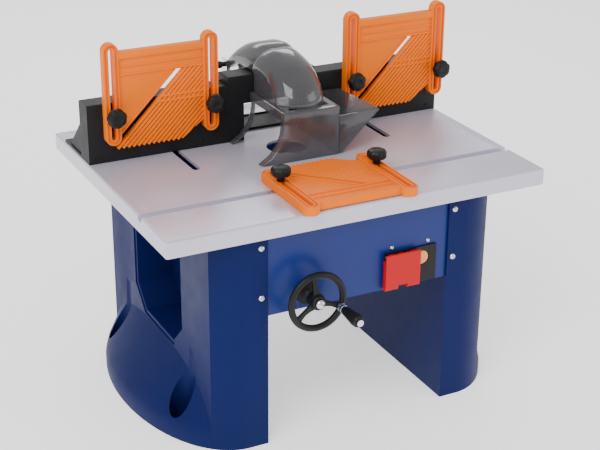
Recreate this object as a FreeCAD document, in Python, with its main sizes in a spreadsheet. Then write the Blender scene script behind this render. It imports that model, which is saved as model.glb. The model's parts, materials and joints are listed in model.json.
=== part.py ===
import FreeCAD, Part

# Bench router table.  Origin: middle of the footprint, on the bench.  X runs along the table,
# -Y is the side the user stands on, Z is up.  Millimetres throughout.

import math
import os

from FreeCAD import Placement, Rotation, Vector

doc = FreeCAD.newDocument("RouterTable")

DRIVING_SIZES = {
    # table top and stand
    "table_length": 610, "table_depth": 470, "table_height": 362, "skirt_height": 25,
    "skirt_thick": 3, "top_thick": 5, "edge_round": 3,
    "mitre_width": 13.7, "mitre_deep": 8, "mitre_y": -138,
    "cutter_y": 20, "insert_radius": 49, "throat_radius": 32, "insert_thick": 4,
    "fence_slot_x": 164, "fence_slot_width": 12, "fence_slot_front": -12, "fence_slot_back": 196,
    "leg_inner": 148.5, "leg_half_depth": 220, "leg_oval_x": 178, "leg_oval_half": 120,
    "leg_side": 230, "leg_wall": 4, "foot_straight": 16, "foot_top": 105,
    "bay_half": 90, "bay_floor": 112, "bay_deep": 62, "bench_hole_x": 247, "bench_hole_y": 131,
    "bench_hole_radius": 4, "bench_floor": 12, "bench_well_radius": 20,
    "panel_bottom": 209, "panel_thick": 2, "panel_tongue": 20, "panel_screw_x": 158.5,
    # lift and motor
    "column_x": 62, "column_radius": 8, "lift_base_z": 150, "lift_base_thick": 12,
    "lift_screw_y": 74, "lift_screw_radius": 6, "wheel_x": -86, "wheel_z": 233, "wheel_y": -250,
    "wheel_radius": 41, "rim_radius": 5, "shaft_radius": 5, "gear_teeth": 16, "gear_radius": 16,
    "motor_radius": 42, "motor_top": 318, "motor_length": 120,
    # fence
    "fence_front": 74, "fence_length": 606, "fence_thick": 36, "fence_height": 93,
    "fence_wall": 4, "flange_depth": 78, "chute_half": 75, "chute_rise": 13,
    "throat_half": 48, "throat_height": 60, "gap": 0.3,
    # featherboards and knobs
    "arm_spacing": 158, "arm_length": 157, "arm_width": 24, "board_thick": 14, "web_thick": 8,
    "slot_width": 7, "finger_pitch": 8, "finger_gap": 1.8, "bolt_radius": 3, "knob_radius": 15,
    # chip guard
    "guard_left": -37, "guard_right": 57, "guard_front": -46, "guard_top": 440,
    "guard_wall": 3, "guard_flare": -74, "wing_tip_x": 127, "wing_tip_z": 424, "wing_taper": 9,
    "duct_half": 41, "duct_middle": 9,
    # switch
    "switch_left": 41, "switch_right": 129, "switch_bottom": 211, "switch_top": 268,
}

sheet = doc.addObject("Spreadsheet::Sheet", "Size")
for row, (alias, number) in enumerate(DRIVING_SIZES.items(), start=1):
    sheet.set(f"A{row}", alias)
    sheet.set(f"B{row}", str(number))
    sheet.setAlias(f"B{row}", alias)
doc.recompute()


def size(alias):
    """A driving dimension, read back from the sheet."""
    return float(getattr(sheet, alias))


TOP = size("table_height")
CUTTER_Y = size("cutter_y")
GAP = size("gap")
parts = []


# ---------------------------------------------------------------- modelling helpers

def keep(feature, label):
    """Name a finished sub-part and put it on the list to write."""
    feature.Label = label
    parts.append(feature)
    return feature


def shaped(label, shape, place=None):
    """A sub-part whose shape is computed from the sheet's sizes."""
    feature = doc.addObject("Part::Feature", "Shape_" + label)
    feature.Shape = shape
    if place is not None:
        feature.Placement = place
    return keep(feature, label)


def bind(thing, **expressions):
    for name, expression in expressions.items():
        thing.setExpression(name.replace("__", "."), expression)


def origin_plane(body, role):
    return next(plane for plane in body.Origin.OriginFeatures if plane.Role == role)


def new_sketch(body, role, height="0"):
    sketch = body.newObject("Sketcher::SketchObject", "Sketch")
    sketch.AttachmentSupport = [(origin_plane(body, role), "")]
    sketch.MapMode = "FlatFace"
    sketch.setExpression("AttachmentOffset.Base.z", height)
    return sketch


def sketch_number(sketch, kind, geometry, expression):
    """Add one driving constraint that follows an expression."""
    import Sketcher
    index = sketch.addConstraint(Sketcher.Constraint(kind, *geometry))
    sketch.setExpression(f"Constraints[{index}]", expression)


def sketch_box(sketch, left, right, low, high):
    """A rectangle held by four distances from the sketch's origin."""
    import Sketcher
    corners = [Vector(0, 0, 0), Vector(10, 0, 0), Vector(10, 10, 0), Vector(0, 10, 0)]
    first = sketch.GeometryCount
    for i in range(4):
        sketch.addGeometry(Part.LineSegment(corners[i], corners[(i + 1) % 4]), False)
    for i in range(4):
        sketch.addConstraint(Sketcher.Constraint("Coincident", first + i, 2, first + (i + 1) % 4, 1))
    for i in (0, 2):
        sketch.addConstraint(Sketcher.Constraint("Horizontal", first + i))
        sketch.addConstraint(Sketcher.Constraint("Vertical", first + i + 1))
    sketch_number(sketch, "DistanceX", (-1, 1, first, 1, 0.0), left)
    sketch_number(sketch, "DistanceX", (-1, 1, first, 2, 10.0), right)
    sketch_number(sketch, "DistanceY", (-1, 1, first, 1, 0.0), low)
    sketch_number(sketch, "DistanceY", (-1, 1, first + 2, 1, 10.0), high)


def sketch_disc(sketch, x, y, radius):
    first = sketch.GeometryCount
    sketch.addGeometry(Part.Circle(Vector(0, 0, 0), Vector(0, 0, 1), 5), False)
    sketch_number(sketch, "DistanceX", (-1, 1, first, 3, 0.0), x)
    sketch_number(sketch, "DistanceY", (-1, 1, first, 3, 0.0), y)
    sketch_number(sketch, "Radius", (first, 5.0), radius)


def pad(body, sketch, length, backwards=False):
    feature = body.newObject("PartDesign::Pad", "Pad")
    feature.Profile = sketch
    feature.Reversed = backwards
    feature.setExpression("Length", length)
    doc.recompute()
    return feature


def pocket(body, sketch, length, backwards=False):
    """Cut a sketch into the body, and make sure that something was cut."""
    before = body.Shape.Volume
    feature = body.newObject("PartDesign::Pocket", "Pocket")
    feature.Profile = sketch
    feature.Reversed = backwards
    feature.setExpression("Length", length)
    doc.recompute()
    if body.Shape.Volume > before - 1e-3:
        raise RuntimeError(f"a pocket of {body.Name} cuts nothing")
    return feature


def block(x0, x1, y0, y1, z0, z1):
    return Part.makeBox(x1 - x0, y1 - y0, z1 - z0, Vector(x0, y0, z0))


def rod(radius, length, foot, axis=(0, 0, 1)):
    return Part.makeCylinder(radius, length, Vector(*foot), Vector(*axis))


def face_of(points):
    """A flat face through a closed run of 3-D points."""
    return Part.Face(Part.makePolygon([Vector(*p) for p in points] + [Vector(*points[0])]))


def prism_x(points, x0, x1):
    """An outline of (y, z) points, extruded along X."""
    return face_of([(x0, y, z) for y, z in points]).extrude(Vector(x1 - x0, 0, 0))


def prism_y(points, y0, y1):
    """An outline of (x, z) points, extruded along Y."""
    return face_of([(x, y0, z) for x, z in points]).extrude(Vector(0, y1 - y0, 0))


def long_hole(x, y, width, length, depth):
    """A round-ended slot standing along +Z, centred on (x, y), its length along Y."""
    half = (length - width) / 2
    body = block(x - width / 2, x + width / 2, y - half, y + half, 0, depth)
    ends = [rod(width / 2, depth, (x, y + side * half, 0)) for side in (-1, 1)]
    return body.multiFuse(ends).removeSplitter()


def mirror_x(shape):
    return shape.mirror(Vector(0, 0, 0), Vector(1, 0, 0))


def domed_screw(head_radius, head_height, shank_radius, shank_length):
    """A round-head screw, its head's seat at the origin and its shank along -Z."""
    ball = (head_radius ** 2 + head_height ** 2) / (2 * head_height)
    dome = Part.makeSphere(ball, Vector(0, 0, head_height - ball))
    head = dome.common(rod(head_radius, head_height, (0, 0, 0)))
    cross = block(-0.5, 0.5, -2, 2, head_height - 1.2, head_height + 1)
    cross = cross.fuse(block(-2, 2, -0.5, 0.5, head_height - 1.2, head_height + 1))
    return head.fuse(rod(shank_radius, shank_length, (0, 0, -shank_length))).cut(cross)


def placed(shape, position, towards=(0, 0, 1)):
    """A copy of a shape made about +Z, turned to face a direction and moved to a position."""
    copy = shape.copy()
    turn = Placement(Vector(*position), Rotation(Vector(0, 0, 1), Vector(*towards)))
    copy.Placement = turn.multiply(copy.Placement)
    return copy


def group(shapes):
    return Part.makeCompound(shapes)


# ---------------------------------------------------------------- table top

def make_table_top():
    body = doc.addObject("PartDesign::Body", "TableTop")
    outline = new_sketch(body, "XY_Plane", "Size.table_height - Size.skirt_height")
    sketch_box(outline, "-Size.table_length / 2", "Size.table_length / 2",
               "-Size.table_depth / 2", "Size.table_depth / 2")
    slab = pad(body, outline, "Size.skirt_height")
    rounded = body.newObject("PartDesign::Fillet", "RoundedEdge")
    top_edges = [f"Edge{i}" for i, edge in enumerate(slab.Shape.Edges, start=1)
                 if edge.BoundBox.ZMin > TOP - 0.1 or edge.BoundBox.ZLength > 20]
    rounded.Base = (slab, top_edges)
    rounded.setExpression("Radius", "Size.edge_round")
    doc.recompute()

    inside = new_sketch(body, "XY_Plane", "Size.table_height - Size.skirt_height")
    half_length = "(Size.table_length / 2 - Size.skirt_thick)"
    half_depth = "(Size.table_depth / 2 - Size.skirt_thick)"
    sketch_box(inside, "-" + half_length, half_length, "-" + half_depth,
               "Size.mitre_y - Size.mitre_width")
    sketch_box(inside, "-" + half_length, half_length,
               "Size.mitre_y + Size.mitre_width", half_depth)
    pocket(body, inside, "Size.skirt_height - Size.top_thick", backwards=True)

    mitre = new_sketch(body, "XY_Plane", "Size.table_height")
    sketch_box(mitre, "-Size.table_length / 2 - 1", "Size.table_length / 2 + 1",
               "Size.mitre_y - Size.mitre_width / 2", "Size.mitre_y + Size.mitre_width / 2")
    pocket(body, mitre, "Size.mitre_deep")

    under_channel = new_sketch(body, "XY_Plane", "Size.table_height - Size.skirt_height")
    sketch_box(under_channel, "-" + half_length, half_length,
               "Size.mitre_y - Size.mitre_width - 1", "Size.mitre_y + Size.mitre_width + 1")
    pocket(body, under_channel, "Size.skirt_height - Size.mitre_deep - 3", backwards=True)

    seat = new_sketch(body, "XY_Plane", "Size.table_height")
    sketch_disc(seat, "0", "Size.cutter_y", "Size.insert_radius")
    pocket(body, seat, "Size.insert_thick")
    throat = new_sketch(body, "XY_Plane", "Size.table_height")
    sketch_disc(throat, "0", "Size.cutter_y", "Size.insert_radius - 5")
    pocket(body, throat, "Size.top_thick + 1")

    slots = doc.addObject("Part::Feature", "FenceSlots")
    length = size("fence_slot_back") - size("fence_slot_front")
    middle = size("fence_slot_front") + length / 2
    slot = long_hole(size("fence_slot_x"), middle, size("fence_slot_width"), length, 10)
    slot.translate(Vector(0, 0, TOP - 8))
    slots.Shape = group([slot, mirror_x(slot)])
    top = doc.addObject("Part::Cut", "SlottedTop")
    top.Base = body
    top.Tool = slots
    doc.recompute()
    return keep(top, "table_top")


make_table_top()


def make_insert_ring():
    body = doc.addObject("PartDesign::Body", "InsertRing")
    disc = new_sketch(body, "XY_Plane", "Size.table_height - Size.insert_thick")
    sketch_disc(disc, "0", "Size.cutter_y", "Size.insert_radius - 0.2")
    pad(body, disc, "Size.insert_thick")
    hole = new_sketch(body, "XY_Plane", "Size.table_height")
    sketch_disc(hole, "0", "Size.cutter_y", "Size.throat_radius")
    pocket(body, hole, "Size.insert_thick")
    return keep(body, "insert_ring")


make_insert_ring()


def flush_screws(positions):
    """Countersunk screws whose heads sit level with the table's face."""
    screws = []
    for x, y in positions:
        head = Part.makeCone(2.5, 5, 3, Vector(x, y, TOP - 3.2))
        screw = head.fuse(rod(2.5, 16, (x, y, TOP - 19)))
        recess = rod(1.8, 2, (x, y, TOP - 1.7))
        screws.append(screw.cut(recess))
    return screws


SCREW_ROWS = (CUTTER_Y + 38, CUTTER_Y - 39)
shaped("plate_screws", group(flush_screws([(side * 141, y) for side in (-1, 1) for y in SCREW_ROWS])))
shaped("frame_screws", group(flush_screws([(side * 75, y) for side in (-1, 1) for y in SCREW_ROWS])))


# ---------------------------------------------------------------- legs

LEG_TOP = TOP - size("top_thick")


def oval_ring(z, half, depth):
    """Half an oval, bulging to +X from its straight inner edge, as one closed wire."""
    middle = size("leg_oval_x")
    centre = Vector(middle, 0, z)
    back = Vector(middle, depth, z)
    front = Vector(middle, -depth, z)
    oval = Part.Ellipse(back, Vector(middle + half, 0, z), centre)
    return Part.Wire([oval.toShape(0, math.pi), Part.makeLine(front, back)])


def leg_column(inset, low, high):
    """The leg's straight upper part: a flat inner wall, then half an oval cut flat at the side."""
    depth = size("leg_half_depth") - inset
    middle = size("leg_oval_x")
    oval = Part.Face(oval_ring(low, size("leg_oval_half") - inset, depth))
    oval = oval.extrude(Vector(0, 0, high - low))
    inner = block(size("leg_inner") + inset, middle, -depth, depth, low, high)
    side = size("leg_side") - inset
    return oval.common(block(middle, side, -depth - 1, depth + 1, low, high)).fuse(inner)


def leg_foot(inset, low):
    """The foot: an oval skirt that slopes in from the bench to the leg's flat side."""
    middle = size("leg_oval_x")
    depth = size("leg_half_depth") - inset
    widths = [(low, size("leg_oval_half")), (size("foot_straight"), size("leg_oval_half")),
              (size("foot_straight") + 12, size("leg_oval_half") - 5),
              (size("foot_top"), size("leg_side") - middle)]
    rings = [oval_ring(z, half - inset, depth) for z, half in widths]
    return Part.makeLoft(rings, True, True)


def make_right_leg():
    wall = size("leg_wall")
    outside = leg_column(0, 0, LEG_TOP).fuse(leg_foot(0, 0)).removeSplitter()
    hollow = leg_column(wall, -1, LEG_TOP - wall).fuse(leg_foot(wall, -1))
    leg = outside.cut(hollow)

    side = size("leg_side")
    bay = size("bay_half")
    floor = size("bay_floor")
    deep = side - size("bay_deep")
    ceiling = LEG_TOP - 2 * wall - 20
    tub = block(deep - wall, side, -bay - wall, bay + wall, floor - wall, ceiling + wall)
    leg = leg.fuse(tub.common(outside))
    corner = 34
    mouth = [(-bay, ceiling), (-bay, floor + corner), (-bay + corner, floor),
             (bay - corner, floor), (bay, floor + corner), (bay, ceiling)]
    leg = leg.cut(prism_x(mouth, deep, side + 60))
    lip = 7
    rebate = [(-bay - lip, ceiling + 1), (-bay - lip, floor + corner - 3), (-bay + corner - 3, floor - lip),
              (bay - corner + 3, floor - lip), (bay + lip, floor + corner - 3), (bay + lip, ceiling + 1)]
    leg = leg.cut(prism_x(rebate, side - 2, side + 60))

    for end in (-1, 1):
        x = size("bench_hole_x")
        y = end * size("bench_hole_y")
        well = size("bench_well_radius")
        boss = rod(well + wall, 90, (x, y, 0)).common(outside)
        leg = leg.fuse(boss)
        leg = leg.cut(rod(well, 120, (x, y, size("bench_floor"))))
        leg = leg.cut(rod(size("bench_hole_radius"), 40, (x, y, -1)))

    thick = size("panel_thick") + 0.2
    for end in (-1, 1):
        front = size("leg_half_depth") - wall
        low, high = sorted((end * front, end * (front - thick)))
        tongue = block(0, size("leg_inner") + size("panel_tongue") + 0.5, low, high,
                       size("panel_bottom") - 0.5, LEG_TOP)
        leg = leg.cut(tongue)

    channel = size("mitre_width") + 1.5
    notch = block(0, side + 80, size("mitre_y") - channel, size("mitre_y") + channel,
                  TOP - size("mitre_deep") - 3.2, LEG_TOP + 1)
    leg = leg.cut(notch)
    clamp = size("fence_slot_x")
    bolt_way = block(size("leg_inner") + wall, clamp + 13, size("fence_slot_front") - 8,
                     size("fence_slot_back") + 4, LEG_TOP - 2 * wall, LEG_TOP + 1)
    return leg.cut(bolt_way)


right_leg = make_right_leg()
shaped("right_leg", right_leg)
shaped("left_leg", mirror_x(right_leg))


# ---------------------------------------------------------------- panels between the legs

def make_panel(label, end):
    """A flat steel panel with a folded top flange; end is -1 at the front and 1 at the back."""
    body = doc.addObject("PartDesign::Body", "Panel_" + label)
    sketch = new_sketch(body, "XY_Plane", "Size.panel_bottom")
    reach = "(Size.leg_inner + Size.panel_tongue)"
    outer = "(Size.leg_half_depth - Size.leg_wall)"
    edges = [f"{end} * {outer}", f"{end} * ({outer} - Size.panel_thick)"]
    if end > 0:
        edges.reverse()
    sketch_box(sketch, "-" + reach, reach, edges[0], edges[1])
    pad(body, sketch, "Size.table_height - Size.top_thick - Size.panel_bottom")
    flange = new_sketch(body, "XY_Plane", "Size.table_height - Size.top_thick - Size.panel_thick")
    inner = "(Size.leg_inner - 0.5)"
    folds = [f"{end} * {outer}", f"{end} * ({outer} - 22)"]
    if end > 0:
        folds.reverse()
    sketch_box(flange, "-" + inner, inner, folds[0], folds[1])
    pad(body, flange, "Size.panel_thick")
    return body


front_body = make_panel("front", -1)
opening = new_sketch(front_body, "XZ_Plane", "Size.leg_half_depth")
sketch_box(opening, "Size.switch_left + 4", "Size.switch_right - 4",
           "Size.switch_bottom + 4", "Size.switch_top - 4")
sketch_disc(opening, "Size.wheel_x", "Size.wheel_z", "Size.shaft_radius + 5.2")
pocket(front_body, opening, "30")
keep(front_body, "front_panel")
keep(make_panel("rear", 1), "rear_panel")

panel_screw = domed_screw(4.7, 3, 2, 10)
screw_heights = (240.5, 317.5)
panel_screws = [placed(panel_screw, (side * size("panel_screw_x"), end * size("leg_half_depth"), z),
                       (0, end, 0))
                for end in (-1, 1) for side in (-1, 1) for z in screw_heights]
shaped("panel_screws", group(panel_screws))


# ---------------------------------------------------------------- switch

PANEL_FACE = -(size("leg_half_depth") - size("leg_wall"))
COVER_LEFT = 38.5
COVER_RIGHT = 98
HINGE_Y = PANEL_FACE - 6.5
HINGE_Z = size("switch_top") - 4
PIN_RADIUS = 1.5
START = (68, 240)
STOP = (105, 249.5)
BUTTON_RADIUS = 11


def make_switch_box():
    """The switch's black housing: a face plate on the panel, the box behind, two hinge lugs."""
    left, right = size("switch_left"), size("switch_right")
    low, high = size("switch_bottom"), size("switch_top")
    plate = block(left, right, PANEL_FACE - 3, PANEL_FACE, low, high)
    rear = block(left + 5, right - 5, PANEL_FACE, PANEL_FACE + 46, low + 5, high - 5)
    shape = plate.fuse(rear)
    for x, z in (START, STOP):
        shape = shape.cut(rod(BUTTON_RADIUS + 0.4, 16, (x, PANEL_FACE - 4, z), (0, 1, 0)))
    for x in (56, 76):
        lug = block(x, x + 4, HINGE_Y, PANEL_FACE - 2, HINGE_Z - 3, HINGE_Z + 3)
        lug = lug.fuse(rod(3, 4, (x, HINGE_Y, HINGE_Z), (1, 0, 0)))
        shape = shape.fuse(lug)
    latch = block(64, 72, PANEL_FACE - 6, PANEL_FACE - 2, low, low + 5)
    return shape.fuse(latch).removeSplitter()


shaped("switch_box", make_switch_box())
shaped("cover_pin", rod(PIN_RADIUS, 56, (40, HINGE_Y, HINGE_Z), (1, 0, 0)))


def make_switch_cover():
    """The flip-up cover: a shallow cap with two barrels round the hinge pin."""
    low = size("switch_bottom")
    back = PANEL_FACE - 3.4
    front = PANEL_FACE - 12
    cap = block(COVER_LEFT, COVER_RIGHT, front, back, low, HINGE_Z + 4)
    cap = cap.makeFillet(2, [e for e in cap.Edges if e.BoundBox.YMax < front + 0.1])
    cap = cap.cut(block(COVER_LEFT + 2.5, COVER_RIGHT - 2.5, front + 2.5, back + 1,
                        low + 2.5, HINGE_Z - 5))
    cap = cap.cut(block(60, 76, front - 1, back + 1, low - 1, low + 6))
    space = block(COVER_LEFT - 1, COVER_RIGHT + 1, HINGE_Y - 3.6, back + 1, HINGE_Z - 6, HINGE_Z + 5)
    cap = cap.cut(space)
    barrels = [rod(3, 8, (x, HINGE_Y, HINGE_Z), (1, 0, 0)) for x in (46, 62, 82)]
    webs = [block(x, x + 8, front + 1, HINGE_Y, HINGE_Z - 1.5, HINGE_Z + 1.5) for x in (46, 62, 82)]
    cap = cap.multiFuse(barrels + webs)
    return cap.cut(rod(PIN_RADIUS + 0.05, 70, (35, HINGE_Y, HINGE_Z), (1, 0, 0))).removeSplitter()


shaped("switch_cover", make_switch_cover())

# The start button stands proud under the cover; the stop button is level with the plate.
BUTTON_FOOT = 6
BUTTONS = (("start_button", START, 4), ("stop_button", STOP, 2.8))
for button_label, (button_x, button_z), proud in BUTTONS:
    button = doc.addObject("Part::Cylinder", "Cylinder_" + button_label)
    button.Radius = BUTTON_RADIUS
    button.Height = BUTTON_FOOT + proud
    button.Placement = Placement(Vector(button_x, PANEL_FACE + BUTTON_FOOT, button_z),
                                 Rotation(Vector(0, 0, 1), Vector(0, -1, 0)))
    domed = doc.addObject("Part::Chamfer", "Chamfer_" + button_label)
    domed.Base = button
    doc.recompute()
    far = [i for i, edge in enumerate(button.Shape.Edges, start=1)
           if edge.BoundBox.YMax < PANEL_FACE - 1]
    domed.Edges = [(i, 1.2, 1.2) for i in far]
    keep(domed, button_label)

switch_screws = [placed(domed_screw(3.2, 2, 1.5, 10), (x, PANEL_FACE, 274), (0, -1, 0))
                 for x in (54.1, 115.8)]
shaped("switch_screws", group(switch_screws))
shaped("switch_bracket", block(size("switch_left") + 5, size("switch_right") - 5, PANEL_FACE + 2,
                               PANEL_FACE + 8, size("switch_top") - 5, size("switch_top") + 12))


# ---------------------------------------------------------------- lift: columns, screw, gears

BASE_Z = size("lift_base_z")
BASE_TOP = BASE_Z + size("lift_base_thick")
COLUMN_X = size("column_x")
COLUMN_R = size("column_radius")
SCREW_Y = size("lift_screw_y")
WHEEL_X = size("wheel_x")
WHEEL_Z = size("wheel_z")
RUNNING = 0.05

columns = doc.addObject("Part::Cylinder", "Column")
bind(columns, Radius="Size.column_radius",
     Height="Size.table_height - Size.top_thick - Size.lift_base_z - Size.lift_base_thick",
     Placement__Base__x="-Size.column_x", Placement__Base__y="Size.cutter_y",
     Placement__Base__z="Size.lift_base_z + Size.lift_base_thick")
keep(columns, "left_column")
second_column = doc.addObject("Part::Cylinder", "SecondColumn")
bind(second_column, Radius="Size.column_radius",
     Height="Size.table_height - Size.top_thick - Size.lift_base_z - Size.lift_base_thick",
     Placement__Base__x="Size.column_x", Placement__Base__y="Size.cutter_y",
     Placement__Base__z="Size.lift_base_z + Size.lift_base_thick")
keep(second_column, "right_column")

# The lift screw stands beside the wheel's shaft line, and a bevel pair turns the corner.
SCREW_X = WHEEL_X
GEAR_R = size("gear_radius")
SHAFT_R = size("shaft_radius")
SCREW_R = size("lift_screw_radius")
PITCH_APEX = (SCREW_X, SCREW_Y, WHEEL_Z)


def bevel_gear(face, bore):
    """A straight bevel gear of the 1:1 pair: apex at the origin, its big end at -Z."""
    teeth = int(size("gear_teeth"))
    radius = GEAR_R
    root = radius - 2.4
    inner = (radius - face) / radius
    body = Part.makeCone(root, root * inner, radius * (1 - inner), Vector(0, 0, -radius))
    hub = rod(radius * 0.62, 9, (0, 0, -radius - 9))
    half_root = 0.30 * math.pi * radius / teeth
    half_tip = 0.16 * math.pi * radius / teeth

    def ring(scale):
        corners = [(root - 0.6, -half_root, -radius - 0.6), (root - 0.6, half_root, -radius - 0.6),
                   (radius + 1.1, half_tip, -radius + 1.1), (radius + 1.1, -half_tip, -radius + 1.1)]
        points = [Vector(*corner) * scale for corner in corners]
        return Part.makePolygon(points + [points[0]])

    tooth = Part.makeLoft([ring(1), ring(inner)], True, True)
    cogs = []
    for i in range(teeth):
        cog = tooth.copy()
        cog.rotate(Vector(0, 0, 0), Vector(0, 0, 1), 360 * i / teeth)
        cogs.append(cog)
    gear = body.multiFuse([hub] + cogs)
    return gear.cut(rod(bore, 60, (0, 0, -50)))


# The screw's gear looks up at the apex, the shaft's gear looks back at it from the front.
GEAR_FACE = 7
screw_gear = bevel_gear(GEAR_FACE, SCREW_R)
screw_gear.rotate(Vector(0, 0, 0), Vector(0, 0, 1), 180 / size("gear_teeth"))
shaped("screw_gear", placed(screw_gear, PITCH_APEX))
shaft_gear = bevel_gear(GEAR_FACE, SHAFT_R)
shaped("shaft_gear", placed(shaft_gear, PITCH_APEX, (0, 1, 0)))

SCREW_FOOT = BASE_Z + 2
SCREW_TOP = LEG_TOP - 4
shaped("lift_screw", rod(SCREW_R, SCREW_TOP - SCREW_FOOT, (SCREW_X, SCREW_Y, SCREW_FOOT)))


def make_lift_base():
    """The plate that ties the columns' feet, with the lower screw bearing and a shaft bracket."""
    plate = block(SCREW_X - 14, COLUMN_X + 14, CUTTER_Y - 56, SCREW_Y + 18, BASE_Z, BASE_TOP)
    plate = plate.cut(rod(size("motor_radius") + 5, 40, (0, CUTTER_Y, BASE_Z - 10)))
    post = block(SCREW_X - 12, SCREW_X + 12, SCREW_Y - 40, SCREW_Y - 29, BASE_TOP, WHEEL_Z + 14)
    base = plate.fuse(post)
    base = base.cut(rod(SCREW_R + RUNNING, 40, (SCREW_X, SCREW_Y, SCREW_FOOT - GAP)))
    return base.cut(rod(SHAFT_R + RUNNING, 60, (WHEEL_X, SCREW_Y - 60, WHEEL_Z), (0, 1, 0)))


shaped("lift_base", make_lift_base())
BEARING_HIGH = 14
top_bearing = block(SCREW_X - 13, SCREW_X + 13, SCREW_Y - 13, SCREW_Y + 13, LEG_TOP - BEARING_HIGH, LEG_TOP)
top_bearing = top_bearing.cut(rod(SCREW_R + RUNNING, BEARING_HIGH - 3,
                                  (SCREW_X, SCREW_Y, LEG_TOP - BEARING_HIGH)))
shaped("screw_bearing", top_bearing)


# ---------------------------------------------------------------- motor on its carriage

MOTOR_R = size("motor_radius")
MOTOR_TOP = size("motor_top")
MOTOR_FOOT = MOTOR_TOP - size("motor_length")
CARRIAGE_Z = MOTOR_TOP - 46
BUSH_R = COLUMN_R + 3
NUT_R = SCREW_R + 4
SPINDLE_R = 9


def make_carriage():
    """The clamp ring round the motor, its two column arms and the arm that holds the lift nut."""
    high = 28
    shape = rod(MOTOR_R + 6, high, (0, CUTTER_Y, CARRIAGE_Z))
    shape = shape.fuse(block(-COLUMN_X - 15, COLUMN_X + 15, CUTTER_Y - 14, CUTTER_Y + 14,
                             CARRIAGE_Z, CARRIAGE_Z + high))
    shape = shape.fuse(block(SCREW_X - 13, -20, SCREW_Y - 13, SCREW_Y + 13, CARRIAGE_Z, CARRIAGE_Z + high))
    shape = shape.cut(rod(MOTOR_R, high + 2, (0, CUTTER_Y, CARRIAGE_Z - 1)))
    for x in (-COLUMN_X, COLUMN_X):
        shape = shape.cut(rod(BUSH_R, high + 2, (x, CUTTER_Y, CARRIAGE_Z - 1)))
    return shape.cut(rod(NUT_R, high + 2, (SCREW_X, SCREW_Y, CARRIAGE_Z - 1))).removeSplitter()


def tube(outer, inner, length, foot):
    return rod(outer, length, foot).cut(rod(inner, length + 2, (foot[0], foot[1], foot[2] - 1)))


shaped("motor_carriage", make_carriage())
shaped("column_bushes", group([tube(BUSH_R, COLUMN_R + RUNNING, 28, (x, CUTTER_Y, CARRIAGE_Z))
                               for x in (-COLUMN_X, COLUMN_X)]))
shaped("lift_nut", tube(NUT_R, SCREW_R + RUNNING, 34, (SCREW_X, SCREW_Y, CARRIAGE_Z - 3)))

motor = rod(MOTOR_R, MOTOR_TOP - MOTOR_FOOT, (0, CUTTER_Y, MOTOR_FOOT))
motor = motor.fuse(Part.makeCone(MOTOR_R - 8, 20, 10, Vector(0, CUTTER_Y, MOTOR_TOP)))
motor = motor.cut(rod(SPINDLE_R + RUNNING, 90, (0, CUTTER_Y, MOTOR_TOP - 74)))
shaped("motor_housing", motor)
cap = Part.makeCone(MOTOR_R - 6, MOTOR_R, 18, Vector(0, CUTTER_Y, MOTOR_FOOT - 18))
vents = [rod(4, 14, (24 * math.cos(angle), CUTTER_Y + 24 * math.sin(angle), MOTOR_FOOT - 19))
         for angle in [i * math.pi / 4 for i in range(8)]]
shaped("motor_cap", cap.cut(group(vents)))

SHANK_R = 6.35
SPINDLE_TOP = MOTOR_TOP + 30
spindle = rod(SPINDLE_R, SPINDLE_TOP - MOTOR_TOP + 70, (0, CUTTER_Y, MOTOR_TOP - 70))
shaped("spindle", spindle.cut(rod(SHANK_R, 26, (0, CUTTER_Y, SPINDLE_TOP - 25))))
hexagon = Part.makePolygon([Vector(14 * math.cos(i * math.pi / 3), 14 * math.sin(i * math.pi / 3) + CUTTER_Y,
                                   SPINDLE_TOP - 17) for i in range(7)])
collet = Part.Face(hexagon).extrude(Vector(0, 0, 16))
shaped("collet_nut", collet.cut(rod(SPINDLE_R, 40, (0, CUTTER_Y, SPINDLE_TOP - 30))))


# ---------------------------------------------------------------- handwheel

WHEEL_Y = size("wheel_y")
CRANK_ANGLE = -22
SPOKES = 3
GRIP_RADIUS_AT = size("wheel_radius") - 2


def make_bearing():
    """The flanged bush in the front panel that carries the wheel's shaft."""
    flange = rod(17, 5, (WHEEL_X, PANEL_FACE, WHEEL_Z), (0, -1, 0))
    sleeve = rod(SHAFT_R + 5, 14, (WHEEL_X, PANEL_FACE, WHEEL_Z), (0, 1, 0))
    return flange.fuse(sleeve).cut(rod(SHAFT_R + RUNNING, 40, (WHEEL_X, PANEL_FACE - 10, WHEEL_Z), (0, 1, 0)))


shaped("shaft_bearing", make_bearing())
shaft_end = SCREW_Y - SCREW_R - 1.2
shaped("wheel_shaft", rod(SHAFT_R, shaft_end - (WHEEL_Y - 10), (WHEEL_X, WHEEL_Y - 10, WHEEL_Z), (0, 1, 0)))


def wheel_point(radius, angle, y):
    return Vector(WHEEL_X + radius * math.cos(math.radians(angle)), y,
                  WHEEL_Z + radius * math.sin(math.radians(angle)))


def make_handwheel():
    """A round rim, three flat spokes dished towards the panel, and a hub."""
    rim = Part.makeTorus(size("wheel_radius"), size("rim_radius"), Vector(WHEEL_X, WHEEL_Y, WHEEL_Z),
                         Vector(0, 1, 0))
    hub = rod(12, 20, (WHEEL_X, WHEEL_Y - 8, WHEEL_Z), (0, 1, 0))
    spoke = block(8, size("wheel_radius"), WHEEL_Y - 3, WHEEL_Y + 3, -5, 5)
    spokes = []
    for i in range(SPOKES):
        arm = spoke.copy()
        arm.rotate(Vector(0, 0, 0), Vector(0, -1, 0), CRANK_ANGLE + 360 / SPOKES * i)
        arm.translate(Vector(WHEEL_X, 0, WHEEL_Z))
        spokes.append(arm)
    wheel = rim.multiFuse([hub] + spokes)
    return wheel.cut(rod(SHAFT_R, 60, (WHEEL_X, WHEEL_Y - 30, WHEEL_Z), (0, 1, 0)))


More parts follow.
